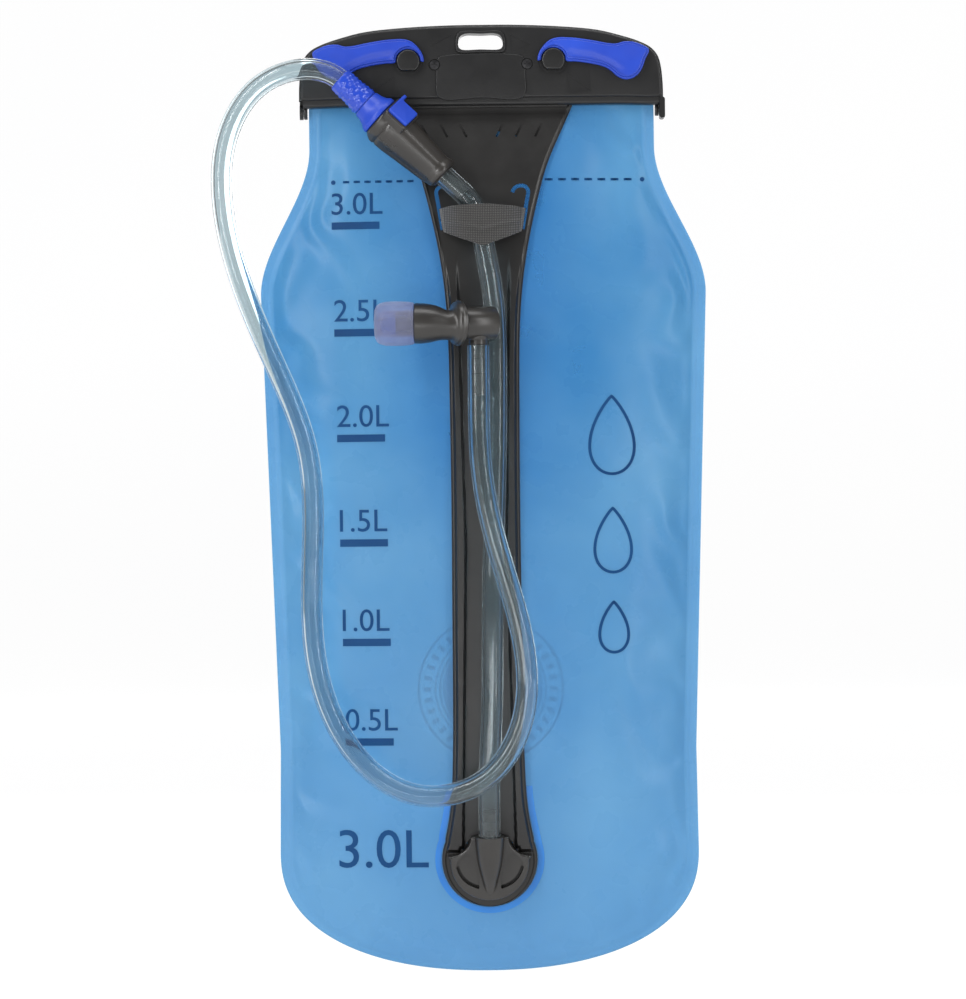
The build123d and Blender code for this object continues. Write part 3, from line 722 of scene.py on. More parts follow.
def webbing_material():
    """Black woven webbing: over-and-under threads in relief, with painted highlight on the thread crowns and
    painted shade between them.
    """
    n = Nodes("webbing_black")
    coords = n.coordinates()
    waves = []
    for axis in ("X", "Z"):
        wave = n.add("ShaderNodeTexWave", Scale=420.0, Distortion=1.2, bands_direction=axis)
        n.link(coords, wave.inputs["Vector"])
        waves.append(wave.outputs["Fac"])
    weave = n.combine("MULTIPLY", *waves)
    shader = n.add("ShaderNodeBsdfPrincipled", Roughness=0.72)
    shader.inputs["Sheen Weight"].default_value = 0.4
    # painted highlight and shade: thread crowns lighter, hollows between the threads darker
    threads = n.ramp(weave, colour(24, 24, 24), colour(92, 90, 88), 0.1, 0.9)
    n.link(threads, shader.inputs["Base Color"])
    n.link(n.bump(weave, 0.0003, 0.8), shader.inputs["Normal"])
    return n.finish(shader)


def metal_material(name, dark, light, rough):
    """Drawn or machined metal with fine streaks."""
    n = Nodes(name)
    shader = n.add("ShaderNodeBsdfPrincipled", Metallic=1.0)
    n.link(n.ramp(n.noise(300.0, 4.0), dark, light), shader.inputs["Base Color"])
    n.link(n.scalar(n.noise(1200.0), rough, rough + 0.15), shader.inputs["Roughness"])
    return n.finish(shader)


FILM = film_material()
TUBE = clear_tube_material("tube_clear", colour(200, 213, 217))
BLACK = moulded("black_plastic", colour(12, 12, 12), colour(20, 20, 20), 0.36)
BAR = moulded("bar_black", colour(13, 13, 14), colour(20, 20, 21), 0.38)
SPINE = moulded("spine_black", colour(20, 19, 19), colour(32, 31, 30), 0.36)
CHARCOAL = moulded("charcoal_plastic", colour(34, 32, 31), colour(50, 48, 45), 0.30, shine=0.6)
SOCKET = moulded("socket_charcoal", colour(36, 34, 32), colour(54, 51, 48), 0.28, shine=0.6)
BLUE = moulded("royal_blue", colour(22, 58, 172), colour(34, 74, 194), 0.38)
SLEEVE = moulded("sleeve_blue", colour(22, 56, 172), colour(32, 72, 192), 0.2, coat=0.3)
INK = moulded("print_ink", colour(6, 54, 100), colour(16, 70, 120), 0.6, shine=0.2)
WELD = moulded("weld_blue", colour(26, 108, 190), colour(44, 128, 206), 0.3)
RUBBER = moulded("rubber_black", colour(12, 12, 12), colour(24, 24, 24), 0.6)
ACETAL = moulded("acetal_white", colour(205, 205, 200), colour(226, 226, 222), 0.35)
SILICONE = silicone_material()
WEBBING = webbing_material()
SCREW = metal_material("screw_black_steel", colour(52, 52, 54), colour(86, 86, 88), 0.3)
STEEL = metal_material("spring_steel", colour(150, 150, 152), colour(205, 205, 208), 0.22)


# ---------------------------------------------------------------- bag films

FLAT_DEPTH = 0.45
SHEET_WALL = 0.42
SEAM_GAP = 0.03


def film_depth(x, z):
    """Outer depth of a film at a point, measured from the weld plane."""
    half = max(film_half(z) - WELD_BAND, 1.0)
    across = min(abs(x) / half, 1.0)
    dome = bulge(z) * (1.0 - across ** 2.4) ** 0.85
    away = edge_distance(x, z)
    # rolled rim and a fine ridge where the weld ends
    ridge = 0.35 * math.exp(-((away - WELD_BAND + 0.6) / 0.7) ** 2)
    rim = 0.25 * math.exp(-(away / 0.8) ** 2)
    # puckers that fade away from the weld
    along = noise.noise(Vector((x * 0.045, 3.1, z * 0.045)))
    ripple = math.sin((x + z * 0.9) * 0.16 + 5.0 * along)
    fade = smooth((away - WELD_BAND) / 6.0) * math.exp(-max(away - WELD_BAND, 0.0) / 22.0)
    pucker = 0.75 * ripple * fade
    # upright folds that run down from the jaws
    below_bar = max(HINGE_Z - z, 0.0)
    fold = math.sin(x * 0.21 + 2.0 * noise.noise(Vector((x * 0.03, 7.7, z * 0.02))))
    inside = smooth((away - WELD_BAND) / 5.0)
    folds = 1.0 * fold * inside * smooth(below_bar / 10.0) * math.exp(-below_bar / 34.0)
    swell = 1.5 * noise.noise(Vector((x * 0.022, 1.3, z * 0.018))) * smooth((away - WELD_BAND) / 30.0)
    return FLAT_DEPTH + dome + ridge + rim + pucker + folds + swell


def film_half(z):
    """Half-width of the bag at height z, with the rounded heel."""
    if z > HEEL_START:
        return side_half(z)
    t = min((HEEL_START - z) / (HEEL_START - BODY_BOTTOM), 1.0)
    return HEEL_HALF * max(1.0 - t ** HEEL_DROP_POWER, 0.0) ** (1.0 / HEEL_CROSS_POWER)


def film_sheet(name, facing, top, hole=None):
    """Closed thin sheet on one side of the weld plane; facing is -1 at the front."""
    columns, rows = 150, 250
    outer = []
    inner = []
    for r in range(rows + 1):
        v = r / rows
        for c in range(columns + 1):
            u = math.sin((c / columns - 0.5) * math.pi)
            bottom = heel_z(u * HEEL_HALF)
            z = top + (bottom - top) * v
            x = u * side_half(max(z, HEEL_START))
            depth = film_depth(x, z)
            if z > HINGE_Z:
                depth = FLAT_DEPTH
            outer.append((x, facing * depth, z))
            inner.append((x, facing * max(depth - SHEET_WALL, SEAM_GAP), z))
    count = columns + 1
    grid = ring_faces(rows + 1, count, closed=False)
    if hole:
        cx, cz, radius = hole
        away = [math.hypot(x - cx, z - cz) for x, _, z in outer]
        grid = [face for face in grid if min(away[i] for i in face) > radius]
    sheet = new_object(name, outer + inner, shell_faces(grid, len(outer)), FILM)
    band = sheet.data.attributes.new("edge_mm", "FLOAT", "POINT")
    for vertex, value in zip(sheet.data.vertices, band.data):
        value.value = edge_distance(vertex.co.x / MM, vertex.co.z / MM)
    # painted shade: how much darker blue to paint beside the top of the spine
    shade = sheet.data.attributes.new("painted_spine_shade", "FLOAT", "POINT")
    for vertex, value in zip(sheet.data.vertices, shade.data):
        x, z = vertex.co.x / MM, vertex.co.z / MM
        beside = math.exp(-(x / 44.0) ** 2)
        value.value = 0.75 * beside * (0.30 + 0.70 * smooth((z + 230.0) / 130.0))
    return sheet


FILM_HOLE_R = 11.8


def build_films():
    """Front film with the port hole, and the back film."""
    front = film_sheet("front_film_sheet", -1, FILM_TOP, hole=(0.0, PORT_Z, FILM_HOLE_R))
    place_piece(front, "reservoir", "front_film")
    back = film_sheet("back_film_sheet", 1, FILM_TOP)
    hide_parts("back_film", "back_film_mouth")
    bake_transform(back)


# ---------------------------------------------------------------- printing

PRINT_LIFT = 0.06
PRINT_THICK = 0.14


def printed(name, outline_mesh, material=INK, side=-1):
    """Lay a flat mesh (x, z, level 0 or 1) on the film as a thin print."""
    bm = bmesh.new()
    bm.from_mesh(outline_mesh)
    for _ in range(3):
        long_edges = [e for e in bm.edges if e.calc_length() > 3.0]
        bmesh.ops.subdivide_edges(bm, edges=long_edges, cuts=1, use_grid_fill=True)
    bmesh.ops.triangulate(bm, faces=bm.faces)
    bm.to_mesh(outline_mesh)
    bm.free()
    for vertex in outline_mesh.vertices:
        x, z, level = vertex.co
        lift = PRINT_LIFT + PRINT_THICK * (1.0 if level > 0.5 else 0.0)
        vertex.co = Vector((x, side * (film_depth(x, z) + lift), z)) * MM
    return finish_object(name, outline_mesh, material, 40)


def flat_mesh(name, loops_faces):
    """Mesh of thin slabs from lists of (x, z) polygons."""
    verts = []
    faces = []
    for polygon in loops_faces:
        n = len(polygon)
        base = len(verts)
        verts += [(x, z, 0.0) for x, z in polygon]
        verts += [(x, z, 1.0) for x, z in polygon]
        faces.append(tuple(range(base, base + n)))
        faces.append(tuple(range(base + 2 * n - 1, base + n - 1, -1)))
        for i in range(n):
            j = (i + 1) % n
            faces.append((base + i, base + j, base + n + j, base + n + i))
    mesh = bpy.data.meshes.new(name)
    mesh.from_pydata(verts, [], faces)
    return mesh


def bar_polygons(x0, x1, z0, z1, cells):
    """A bar cut into short cells so that it follows the film."""
    step = (x1 - x0) / cells
    return [
        [(x0 + i * step, z0), (x0 + (i + 1) * step, z0), (x0 + (i + 1) * step, z1), (x0 + i * step, z1)]
        for i in range(cells)]


def strip_sides(centre, width, closed=False):
    """Points half a width to the left and right of a 2-D line."""
    n = len(centre)
    left, right = [], []
    for i in range(n):
        before = centre[i - 1] if closed or i > 0 else centre[i]
        after = centre[(i + 1) % n] if closed or i < n - 1 else centre[i]
        dx, dz = after[0] - before[0], after[1] - before[1]
        size = math.hypot(dx, dz) or 1.0
        nx, nz = -dz / size * width / 2, dx / size * width / 2
        left.append((centre[i][0] + nx, centre[i][1] + nz))
        right.append((centre[i][0] - nx, centre[i][1] - nz))
    return left, right


def strip_outline(centre, width):
    """Closed outline round a 2-D line."""
    left, right = strip_sides(centre, width)
    return left + right[::-1]


def strip_mesh(name, centre, width, closed):
    """Thin strip along a 2-D line, as one connected slab."""
    n = len(centre)
    left, right = strip_sides(centre, width, closed)
    verts = []
    for level in (0.0, 1.0):
        for a, b in zip(left, right):
            verts += [(*a, level), (*b, level)]
    faces = []
    span = n if closed else n - 1
    for i in range(span):
        j = (i + 1) % n
        a, b, c, d = 2 * i, 2 * i + 1, 2 * j + 1, 2 * j
        e, f, g, h = (k + 2 * n for k in (a, b, c, d))
        faces += [(a, b, c, d), (h, g, f, e), (a, d, h, e), (b, f, g, c)]
    if not closed:
        last = 2 * n - 2
        faces += [(0, 2 * n, 2 * n + 1, 1), (last, last + 1, 2 * n + last + 1, 2 * n + last)]
    mesh = bpy.data.meshes.new(name)
    mesh.from_pydata(verts, [], faces)
    return mesh


def disc_mesh(cx, cz, radius, rings, count):
    """Flat round slab as a polar grid, so that it follows the film."""
    verts = []
    for level in (0.0, 1.0):
        for k in range(rings + 1):
            r = radius * k / rings
            for i in range(count):
                a = 2 * math.pi * i / count
                verts.append((cx + r * math.cos(a), cz + r * math.sin(a), level))
    half = (rings + 1) * count
    faces = ring_faces(rings + 1, count) + ring_faces(rings + 1, count, first=half)
    rim = rings * count
    for i in range(count):
        j = (i + 1) % count
        faces.append((rim + i, rim + j, half + rim + j, half + rim + i))
    mesh = bpy.data.meshes.new("disc")
    mesh.from_pydata(verts, [], faces)
    return mesh


def number_mesh(text, left, low, height):
    """Flat mesh of a number with its lower left corner at (left, low)."""
    curve = bpy.data.curves.new("number", "FONT")
    curve.body = text
    curve.extrude = 0.5
    curve.resolution_u = 5
    holder = bpy.data.objects.new("number", curve)
    bpy.context.scene.collection.objects.link(holder)
    bpy.context.view_layer.update()
    shown = holder.evaluated_get(bpy.context.evaluated_depsgraph_get())
    mesh = bpy.data.meshes.new_from_object(shown)
    bpy.data.objects.remove(holder)
    xs = [v.co.x for v in mesh.vertices]
    ys = [v.co.y for v in mesh.vertices]
    scale = height / (max(ys) - min(ys))
    for v in mesh.vertices:
        level = 1.0 if v.co.z > 0 else 0.0
        v.co = Vector((left + (v.co.x - min(xs)) * scale, low + (v.co.y - min(ys)) * scale, level))
    return mesh


LABEL_LEFT = -66.2
LABEL_DRIFT = 0.75
LABEL_HEIGHT = 9.6
LABELS = [("3.0", -75.0), ("2.5", -122.1), ("2.0", -168.3), ("1.5", -214.1), ("1.0", -257.6), ("0.5", -301.2)]
BAR_LENGTH = 21.0
BAR_DROP = 4.9
BAR_HEIGHT = 3.2
FILL_LOW = -61.1
FILL_HIGH = -60.1
DASHES = 7
DROP_X = 55.5
DROPS = [(-190.0, 34.0), (-233.0, 28.0), (-268.0, 22.0)]
BADGE_X = 1.3
BADGE_Z = -284.5


def build_scale():
    """Volume figures with a bar under each, and the large capacity figure."""
    for k, (text, low) in enumerate(LABELS):
        left = LABEL_LEFT + LABEL_DRIFT * k
        tag = text.replace(".", "_")
        figure = printed(f"volume_figure_{tag}", number_mesh(text + "L", left, low, LABEL_HEIGHT))
        line = [(left + BAR_LENGTH * i / 12, low - BAR_DROP) for i in range(13)]
        bar = printed(f"volume_bar_{tag}", strip_mesh("bar", line, BAR_HEIGHT, False))
        place_piece(figure, "reservoir")
        place_piece(bar, "reservoir")
    big = printed("capacity_figure", number_mesh("3.0L", -66.0, -361.5, 16.8))
    place_piece(big, "reservoir")


def build_fill_line():
    """Dashes on both sides of the spine, each row ending in a dot."""
    polygons = []
    for side, start, end in ((-1, 30.0, 63.0), (1, 27.5, 68.0)):
        step = (end - start) / DASHES
        for i in range(DASHES):
            x0 = side * (start + i * step)
            x1 = side * (start + (i + 0.6) * step)
            polygons += bar_polygons(min(x0, x1), max(x0, x1), FILL_LOW, FILL_HIGH, 2)
        polygons.append(circle(side * (end + 2.4), (FILL_LOW + FILL_HIGH) / 2, 1.0, 16))
    place_piece(printed("fill_line", flat_mesh("fill", polygons)), "reservoir")


def drop_line(low, size):
    """Outline of a water drop with its point upward."""
    points = []
    for i in range(56):
        a = 2 * math.pi * i / 56
        width = size * 0.36 * math.sin(a) * math.sin(a / 2) ** 0.8
        points.append((DROP_X + width, low + size * 0.5 * (1 + math.cos(a))))
    return points


def build_drops():
    """Plain motif of three drops."""
    for k, (low, size) in enumerate(DROPS):
        outline = strip_mesh("drop", drop_line(low, size), 1.25, True)
        place_piece(printed(f"drop_outline_{k + 1}", outline), "reservoir")


def build_badge():
    """Disc, rings and ticks printed on the back film."""
    disc = printed("back_disc", disc_mesh(BADGE_X, BADGE_Z, 21.4, 8, 72), WELD, side=1)
    place_piece(disc, "reservoir")
    for k, (radius, width) in enumerate(((32.0, 1.0), (24.5, 0.7), (22.5, 1.0))):
        line = circle(BADGE_X, BADGE_Z, radius, 96)
        ring = printed(f"back_ring_{k + 1}", strip_mesh("ring", line, width, True), side=1)
        place_piece(ring, "reservoir")
    ticks = []
    for k in range(36):
        a = 2 * math.pi * k / 36
        ca, sa = math.cos(a), math.sin(a)
        ticks.append([
            (BADGE_X + r * ca - w * sa, BADGE_Z + r * sa + w * ca)
            for r, w in ((26.3, -0.9), (29.8, -1.0), (29.8, 1.0), (26.3, 0.9))])
    place_piece(printed("back_ring_ticks", flat_mesh("ticks", ticks), side=1), "reservoir")


# ---------------------------------------------------------------- closure bar

def bar_outline(inset=0.0, bottom=BAR_BOTTOM):
    """Arched outline of the bar; the lower corners are nearly square."""
    right = [
        (0.0, 7.7), (14.5, 7.6), (33.0, 6.8), (50.6, 5.1), (61.0, 2.6), (69.5, -0.2), (74.6, -2.9),
        (77.6, -6.4), (79.0, -11.0), (79.8, -18.7), (79.9, -23.5), (79.8, bottom + 0.9), (78.9, bottom)]
    base = [(60.0, bottom), (30.0, bottom), (0.0, bottom)]
    half = right + base
    loop = half + [(-x, z) for x, z in reversed(half[1:-1])]
    return inward(closed_curve(loop, 5), inset)


def slot_outline(grow=0.0):
    """Hanger slot: wide round upper corners, small lower corners."""
    half = 9.8 + grow
    top = 3.45 + grow
    points = [
        (half - 1.6, -top), (half - 0.35, -top + 0.9), (half, -0.4), (half - 0.9, top - 1.2),
        (half - 2.9, top)]
    loop = points + [(0.0, top)] + [(-x, z) for x, z in reversed(points)] + [(0.0, -top)]
    return closed_curve(loop, 5)


def hub_outline(radius, flat=4.2):
    """D outline of the latch hub: round above, flat below."""
    start = -math.asin(flat / radius)
    points = []
    for k in range(41):
        a = start + (math.pi - 2 * start) * k / 40
        points.append((LEVER_X + radius * math.cos(a), LEVER_Z + radius * math.sin(a)))
    return points


def prism(outline, front, back):
    """Plain cutter from an XZ outline."""
    return rounded_plate("cutter", outline, front, back, 0.0, BLACK, 0.0, steps=1)


def across_bar(x, z):
    """Frame of a turned part whose axis runs along X at (x, z)."""
    return Matrix.Translation((x, 0, z)) @ Matrix.Rotation(math.pi / 2, 4, "Y")


def build_front_jaw():
    """Front half of the bar with the slot rim and the hinge lugs."""
    jaw = rounded_plate("front_jaw_body", bar_outline(), -7.4, -0.6, 1.4, BAR, 0.6)
    rim = rounded_plate("rim", slot_outline(1.3), -9.9, 0.9, 0.6, BAR, 0.4)
    lug_profile = [(3.0, -0.8), (3.2, -0.5), (3.2, 0.5), (3.0, 0.8)]
    lugs = [lathe("lug", lug_profile, BAR, across_bar(side * LUG_X, HINGE_Z), 40) for side in (-1, 1)]
    boolean(jaw, [rim] + lugs, "UNION")
    cuts = [prism(slot_outline(), -15, 5)]
    for side in (-1, 1):
        cuts.append(prism(circle(side * LEVER_X, LEVER_Z, SHAFT_HOLE_R), -8, 1))
        cuts.append(prism(rectangle(side * 79.4, HINGE_Z, 2.4, 9.2, 1.0), -8, 3.5))
    boolean(jaw, cuts)
    place_piece(jaw, "reservoir", "front_jaw")


def build_cover():
    """Cover plate with its middle panel, hub recesses, screw holes and facets."""
    cover = rounded_plate("front_cover_plate", bar_outline(0.9, -25.4), -9.0, -7.4, 0.8, BAR, 0.1)
    arch = [(0, -5.1), (12, -5.4), (18.5, -6.6), (19.6, -9.5), (19.6, -14), (18.6, -24.4), (0, -24.6)]
    panel_loop = closed_curve(arch + [(-x, z) for x, z in reversed(arch[1:-1])], 5)
    panel = rounded_plate("panel", panel_loop, -9.7, -8.6, 0.5, BAR, 0.1)
    boolean(cover, [panel], "UNION")
    upper_facet = [(13, 3), (22, -1.5), (13.5, -4.6)]
    lower_facet = [(37.5, -14.5), (48, -21.5), (39, -23.0)]
    cuts = [prism(slot_outline(1.36), -15, 5)]
    for side in (-1, 1):
        cuts.append(prism(sided(side, hub_outline(6.6, 6.0)), -12, -8.6))
        cuts.append(prism(circle(side * LEVER_X, LEVER_Z, SHAFT_HOLE_R), -12, 1))
        cuts.append(prism(circle(side * SCREW_X, SCREW_Z, 2.5), -12, -8.2))
        cuts.append(prism(circle(side * SCREW_X, SCREW_Z, 1.15), -12, 1))
        cuts.append(prism(sided(side, upper_facet), -12, -8.75))
        cuts.append(prism(sided(side, lower_facet), -12, -8.8))
    boolean(cover, cuts)
    place_piece(cover, "reservoir", "front_cover")


def lever_outline():
    """Right lever: hooked round the hub, waist, thumb lobe, seen from the front."""
    outer = [
        (25.0, -8.6), (25.4, -5.6), (27.7, -2.0), (30.6, 0.4), (33.9, 1.3), (38.0, 1.3), (42.0, 1.0),
        (49.1, -0.1), (56.5, -1.5), (59.6, -1.6), (62.6, -0.8), (66.5, -0.9), (70.0, -2.0),
        (73.4, -3.9), (73.7, -5.2), (72.2, -8.4), (70.9, -12.0), (69.0, -15.0), (66.2, -16.9),
        (62.9, -17.3), (59.6, -15.9), (57.2, -13.7), (54.4, -11.9), (49.1, -10.4), (42.0, -9.3), (38.0, -9.1)]
    inner = []
    for k in range(9):
        a = math.radians(-2 + 180 * k / 8)
        inner.append((LEVER_X + 5.35 * math.cos(a), LEVER_Z + 5.35 * math.sin(a)))
    return closed_curve(outer + inner, 5)


def lever_dish(x, z):
    """Scooped facet that runs along the lower edge from the hub to the lobe."""
    x = abs(x)
    low = np.interp(x, (37.0, 42.0, 49.0, 56.0, 62.0), (-8.2, -9.2, -10.3, -13.0, -16.5))
    scoop = smooth((x - 36.0) / 5.0) * smooth((66.0 - x) / 8.0)
    thumb = 0.35 * math.exp(-((x - 65.0) / 4.5) ** 2 - ((z + 8.0) / 4.5) ** 2)
    return 0.75 * scoop * smooth((low + 5.2 - z) / 2.4) + thumb


def build_levers():
    """Both levers, and the latch hubs with their shafts and dogs."""
    for side, label in ((1, "right"), (-1, "left")):
        blade = rounded_plate(
            f"lever_blade_{label}", sided(side, lever_outline()), LEVER_FRONT_Y, LEVER_BACK_Y, 0.6, BLUE, 0.4,
            step=(0.35, -12.1), relief=lever_dish)
        place_piece(blade, f"lever_{label}", f"lever_{label}")
        hub_line = sided(side, hub_outline(5.2))
        hub = rounded_plate(f"latch_hub_{label}", hub_line, LEVER_FRONT_Y, -9.2, 0.9, BLACK, 0.1)
        shaft_place = Matrix.Translation((side * LEVER_X, 0, LEVER_Z)) @ Matrix.Rotation(-math.pi / 2, 4, "X")
        shaft = lathe("shaft", [(SHAFT_R, -9.6), (SHAFT_R, 0.2)], BLACK, shaft_place, 48)
        dog_line = rectangle(side * LEVER_X, LEVER_Z, 10.6, 4.4, 1.2)
        dog = rounded_plate("dog", dog_line, -0.35, 3.0, 0.4, BLACK, 0.5)
        boolean(hub, [shaft, dog], "UNION")
        place_piece(hub, f"lever_{label}", f"latch_shaft_{label}")


# ---------------------------------------------------------------- spine panel

SPINE_MARKS = [(-28, 40.0), (-40, 34.6), (-53, 29.0), (-68, 24.6), (-86, 20.5), (-113, 16.6), (-150, 15.3),
               (-200, 15.0), (-260, 15.2), (-320, 15.9), (-338, 17.3), (-350, 19.6)]


def spine_half_table():
    """Heights and half-widths along the panel, lowest first."""
    points = spline_points([(z, w) for z, w in SPINE_MARKS], 2.0)
    return points[:, 0][::-1], points[:, 1][::-1]


SPINE_Z, SPINE_W = spine_half_table()


def spine_half(z):
    """Half-width of the panel at height z, closing as a circle round the port."""
    if z > -350:
        return float(np.interp(z, SPINE_Z, SPINE_W))
    reach = (z - PORT_Z) / SPINE_END_R
    return SPINE_END_R * math.sqrt(max(1.0 - reach * reach, 0.0))


def spine_front(x, z):
    """Outer depth of the panel: thin edge, raised rails, sunk channel."""
    half = spine_half(z)
    base = bulge(z) + 2.6
    edge = max(half - abs(x), 0.0)
    rail_in = 9.2 + 0.02 * abs(z + 220)
    rise = smooth((-z - 92) / 30.0)
    rail = smooth((edge - 1.2) / 1.2) * smooth((abs(x) - rail_in + 1.0) / 1.4)
    if z < -346:
        corner = math.hypot(abs(x) - 17.6, z + 346)
        rail *= smooth((8.9 - corner) / 0.8)
    crown = 2.7 * rise * rail
    lip = 0.7 * smooth(edge / 0.7) * (1.0 - smooth((edge - 1.1) / 0.9))
    pinch = 0.5 * smooth(edge / 1.2) - 0.5
    return base + crown + 0.5 * lip + pinch


HOOK_SLOT = [
    (13.2, -66.3), (14.0, -64.6), (16.2, -63.4), (18.6, -63.6), (20.0, -65.2), (19.9, -68.0), (18.9, -74.0),
    (17.5, -82.6)]


def spine_sheet():
    """Panel before its holes: curved front with rails, back that follows the film."""
    columns, rows = 96, 340
    top, bottom = -27.2, PORT_Z - SPINE_END_R + 0.05
    outer, inner = [], []
    for r in range(rows + 1):
        v = r / rows
        ease = v if v < 0.9 else 0.9 + 0.1 * math.sin((v - 0.9) / 0.1 * math.pi / 2)
        z = top + (bottom - top) * ease
        half = max(spine_half(z), 0.6)
        for c in range(columns + 1):
            u = math.sin((c / columns - 0.5) * math.pi * 0.98) / math.sin(0.49 * math.pi)
            x = half * u
            outer.append((x, -spine_front(x, z), z))
            inner.append((x, -(bulge(z) + 0.85), z))
    grid = ring_faces(rows + 1, columns + 1, closed=False)
    return new_object("spine_moulding", outer + inner, shell_faces(grid, len(outer)), SPINE, 40)


def build_spine():
    """Panel with the port hole, hook-shaped strap slots, grooves and upper tab."""
    panel = spine_sheet()
    cuts = [prism(circle(0, PORT_Z, 12.6), -40, 0)]
    for side in (-1, 1):
        line = [tuple(p) for p in spline_points(sided(side, HOOK_SLOT), 1.2)]
        cuts.append(prism(strip_outline(line, 1.7), -40, 0))
    boolean(panel, cuts, sharp=40)
    depth = bulge(-36) + 2.8
    grooves = []
    for k in range(3):
        for side in (-1, 1):
            foot = 6.5 + 8.5 * k
            line = sided(side, [(foot, -41.5), (foot + 5.2, -31.5)])
            grooves.append(prism(strip_outline(line, 1.0), -depth - 6, -depth + 0.25))
    boolean(panel, grooves, sharp=40)
    tab = rounded_plate("tab", rectangle(0, -25.0, 76.0, 7.0, 1.0), -4.6, -2.4, 0.4, SPINE, 0.3)
    boolean(panel, [tab], "UNION", sharp=40)
    place_piece(panel, "reservoir", "spine_panel")


# ---------------------------------------------------------------- port and elbow

def port_matrix():
    """Local frame of the outlet: Z out of the bag, Y up along the film."""
    slope = bulge(PORT_Z + 0.5) - bulge(PORT_Z - 0.5)
    out = Vector((0, -1, -slope)).normalized()
    across = Vector((1, 0, 0))
    return axes_at((0, -bulge(PORT_Z), PORT_Z), across, out.cross(across), out)


PORT = port_matrix()
PLATE_TO_PORT = PORT @ Matrix.Rotation(-math.pi / 2, 4, "X")


def port_plate(name, outline, low, high, radius, material):
    """Rounded plate lying on the port plane between two heights."""
    return rounded_plate(name, outline, -high, -low, radius, material, 0.2, PLATE_TO_PORT)


def cutter(lower, upper):
    """Plain closed cutter between two matching loops of points."""
    n = len(lower)
    faces = ring_faces(2, n) + [tuple(range(n)), tuple(range(n, 2 * n))]
    return new_object("cutter", lower + upper, faces, BLACK)


def port_prism(outline, low, high):
    """Cutter on the port plane."""
    return cutter(*([PORT @ Vector((x, z, level)) for x, z in outline] for level in (low, high)))


CAP_R = 17.2
NOTCH_X = 17.6
NOTCH_Z = 12.0
NOTCH_R = 9.4
PETAL = [
    (6.6, 1.8), (10.2, 4.4), (14.4, 0.4), (14.6, -2.6), (12.9, -6.6), (9.6, -10.0), (5.0, -12.0), (4.6, -8.0)]
PETAL_SLOT = [(14.2, -2.0), (12.4, -6.2), (9.2, -9.4), (4.8, -11.3)]
STEM_PATH = [(0, -14.2, 3.6), (0, -10.5, 5.4), (0, -5.5, 7.2), (0, 0.0, 8.2), (0, 6.0, 8.6), (0, 12.0, 8.6)]


def elbow_outline():
    """Round cap that narrows through a hollow curve on each side of the tube."""
    right = []
    for degrees in range(0, 96, 3):
        a = math.radians(degrees)
        right.append((CAP_R * math.sin(a), -CAP_R * math.cos(a)))
    for degrees in range(-85, -181, -8):
        a = math.radians(degrees)
        right.append((NOTCH_X + NOTCH_R * math.cos(a), NOTCH_Z + NOTCH_R * math.sin(a)))
    return right + [(0.0, 12.4)] + [(-x, z) for x, z in reversed(right[1:])]


def build_elbow():
    """Round cap with two petal recesses and a stem that turns into the tube."""
    elbow = port_plate("elbow_cap", elbow_outline(), 3.1, 6.4, 1.0, CHARCOAL)
    cuts = []
    for side in (-1, 1):
        cuts.append(port_prism(rounded_corners(sided(side, PETAL), 1.4), 5.0, 12.0))
        line = [tuple(p) for p in spline_points(sided(side, PETAL_SLOT), 1.0)]
        cuts.append(port_prism(strip_outline(line, 1.3), 2.0, 12.0))
    boolean(elbow, cuts)
    path = spline_points(STEM_PATH, 0.8)
    last = len(path) - 1

    def swell(k):
        """Radius of the half-round stem, growing towards the tube."""
        t = k / last
        return 2.6 + 3.2 * smooth(t * 1.4) + 0.7 * smooth((t - 0.6) / 0.4)

    def teeth(k):
        """Radius of the barb, in steps that grip the tube."""
        return 2.75 + 0.4 * ((k % 8) / 7.0)

    stem = capped_tube("stem", [PORT @ Vector(p) for p in path], swell, CHARCOAL, 48)
    barb_path = [PORT @ Vector((0, 11.0 + 0.5 * k, TUBE_OFFSET)) for k in range(26)]
    barb = capped_tube("barb", barb_path, teeth, CHARCOAL, 32)
    boolean(elbow, [stem, barb], "UNION", sharp=38)
    place_piece(elbow, "reservoir", "outlet_elbow")


WELD_RING_R = 22.6
WELD_RING_WIDTH = 2.6


def build_weld_ring():
    """Deeper blue weld on the film, beside the panel's foot and round its end."""
    ring = []
    for z in range(-326, -350, -3):
        ring.append((spine_half(z) + 1.4 + 0.4 * smooth((-326 - z) / 20.0), z))
    sides = [(-x, z) for x, z in reversed(ring)]
    for k in range(1, 49):
        a = math.radians(22 - (180 + 44) * k / 48)
        ring.append((WELD_RING_R * math.cos(a), PORT_Z + WELD_RING_R * math.sin(a)))
    weld = printed("weld_ring", strip_mesh("weld", ring + sides, WELD_RING_WIDTH, False), WELD)
    place_piece(weld, "reservoir")


def capped_tube(name, points, radius, material, sides=32):
    """Solid round bar along a path, with flat ends."""
    pts = np.array([tuple(p) for p in points])
    n = len(pts)
    verts = tube_rings(pts, radius, sides)
    faces = ring_faces(n, sides)
    faces.append(tuple(range(sides)))
    faces.append(tuple(range((n - 1) * sides, n * sides)))
    return new_object(name, verts, faces, material, 50)


# ---------------------------------------------------------------- tubes

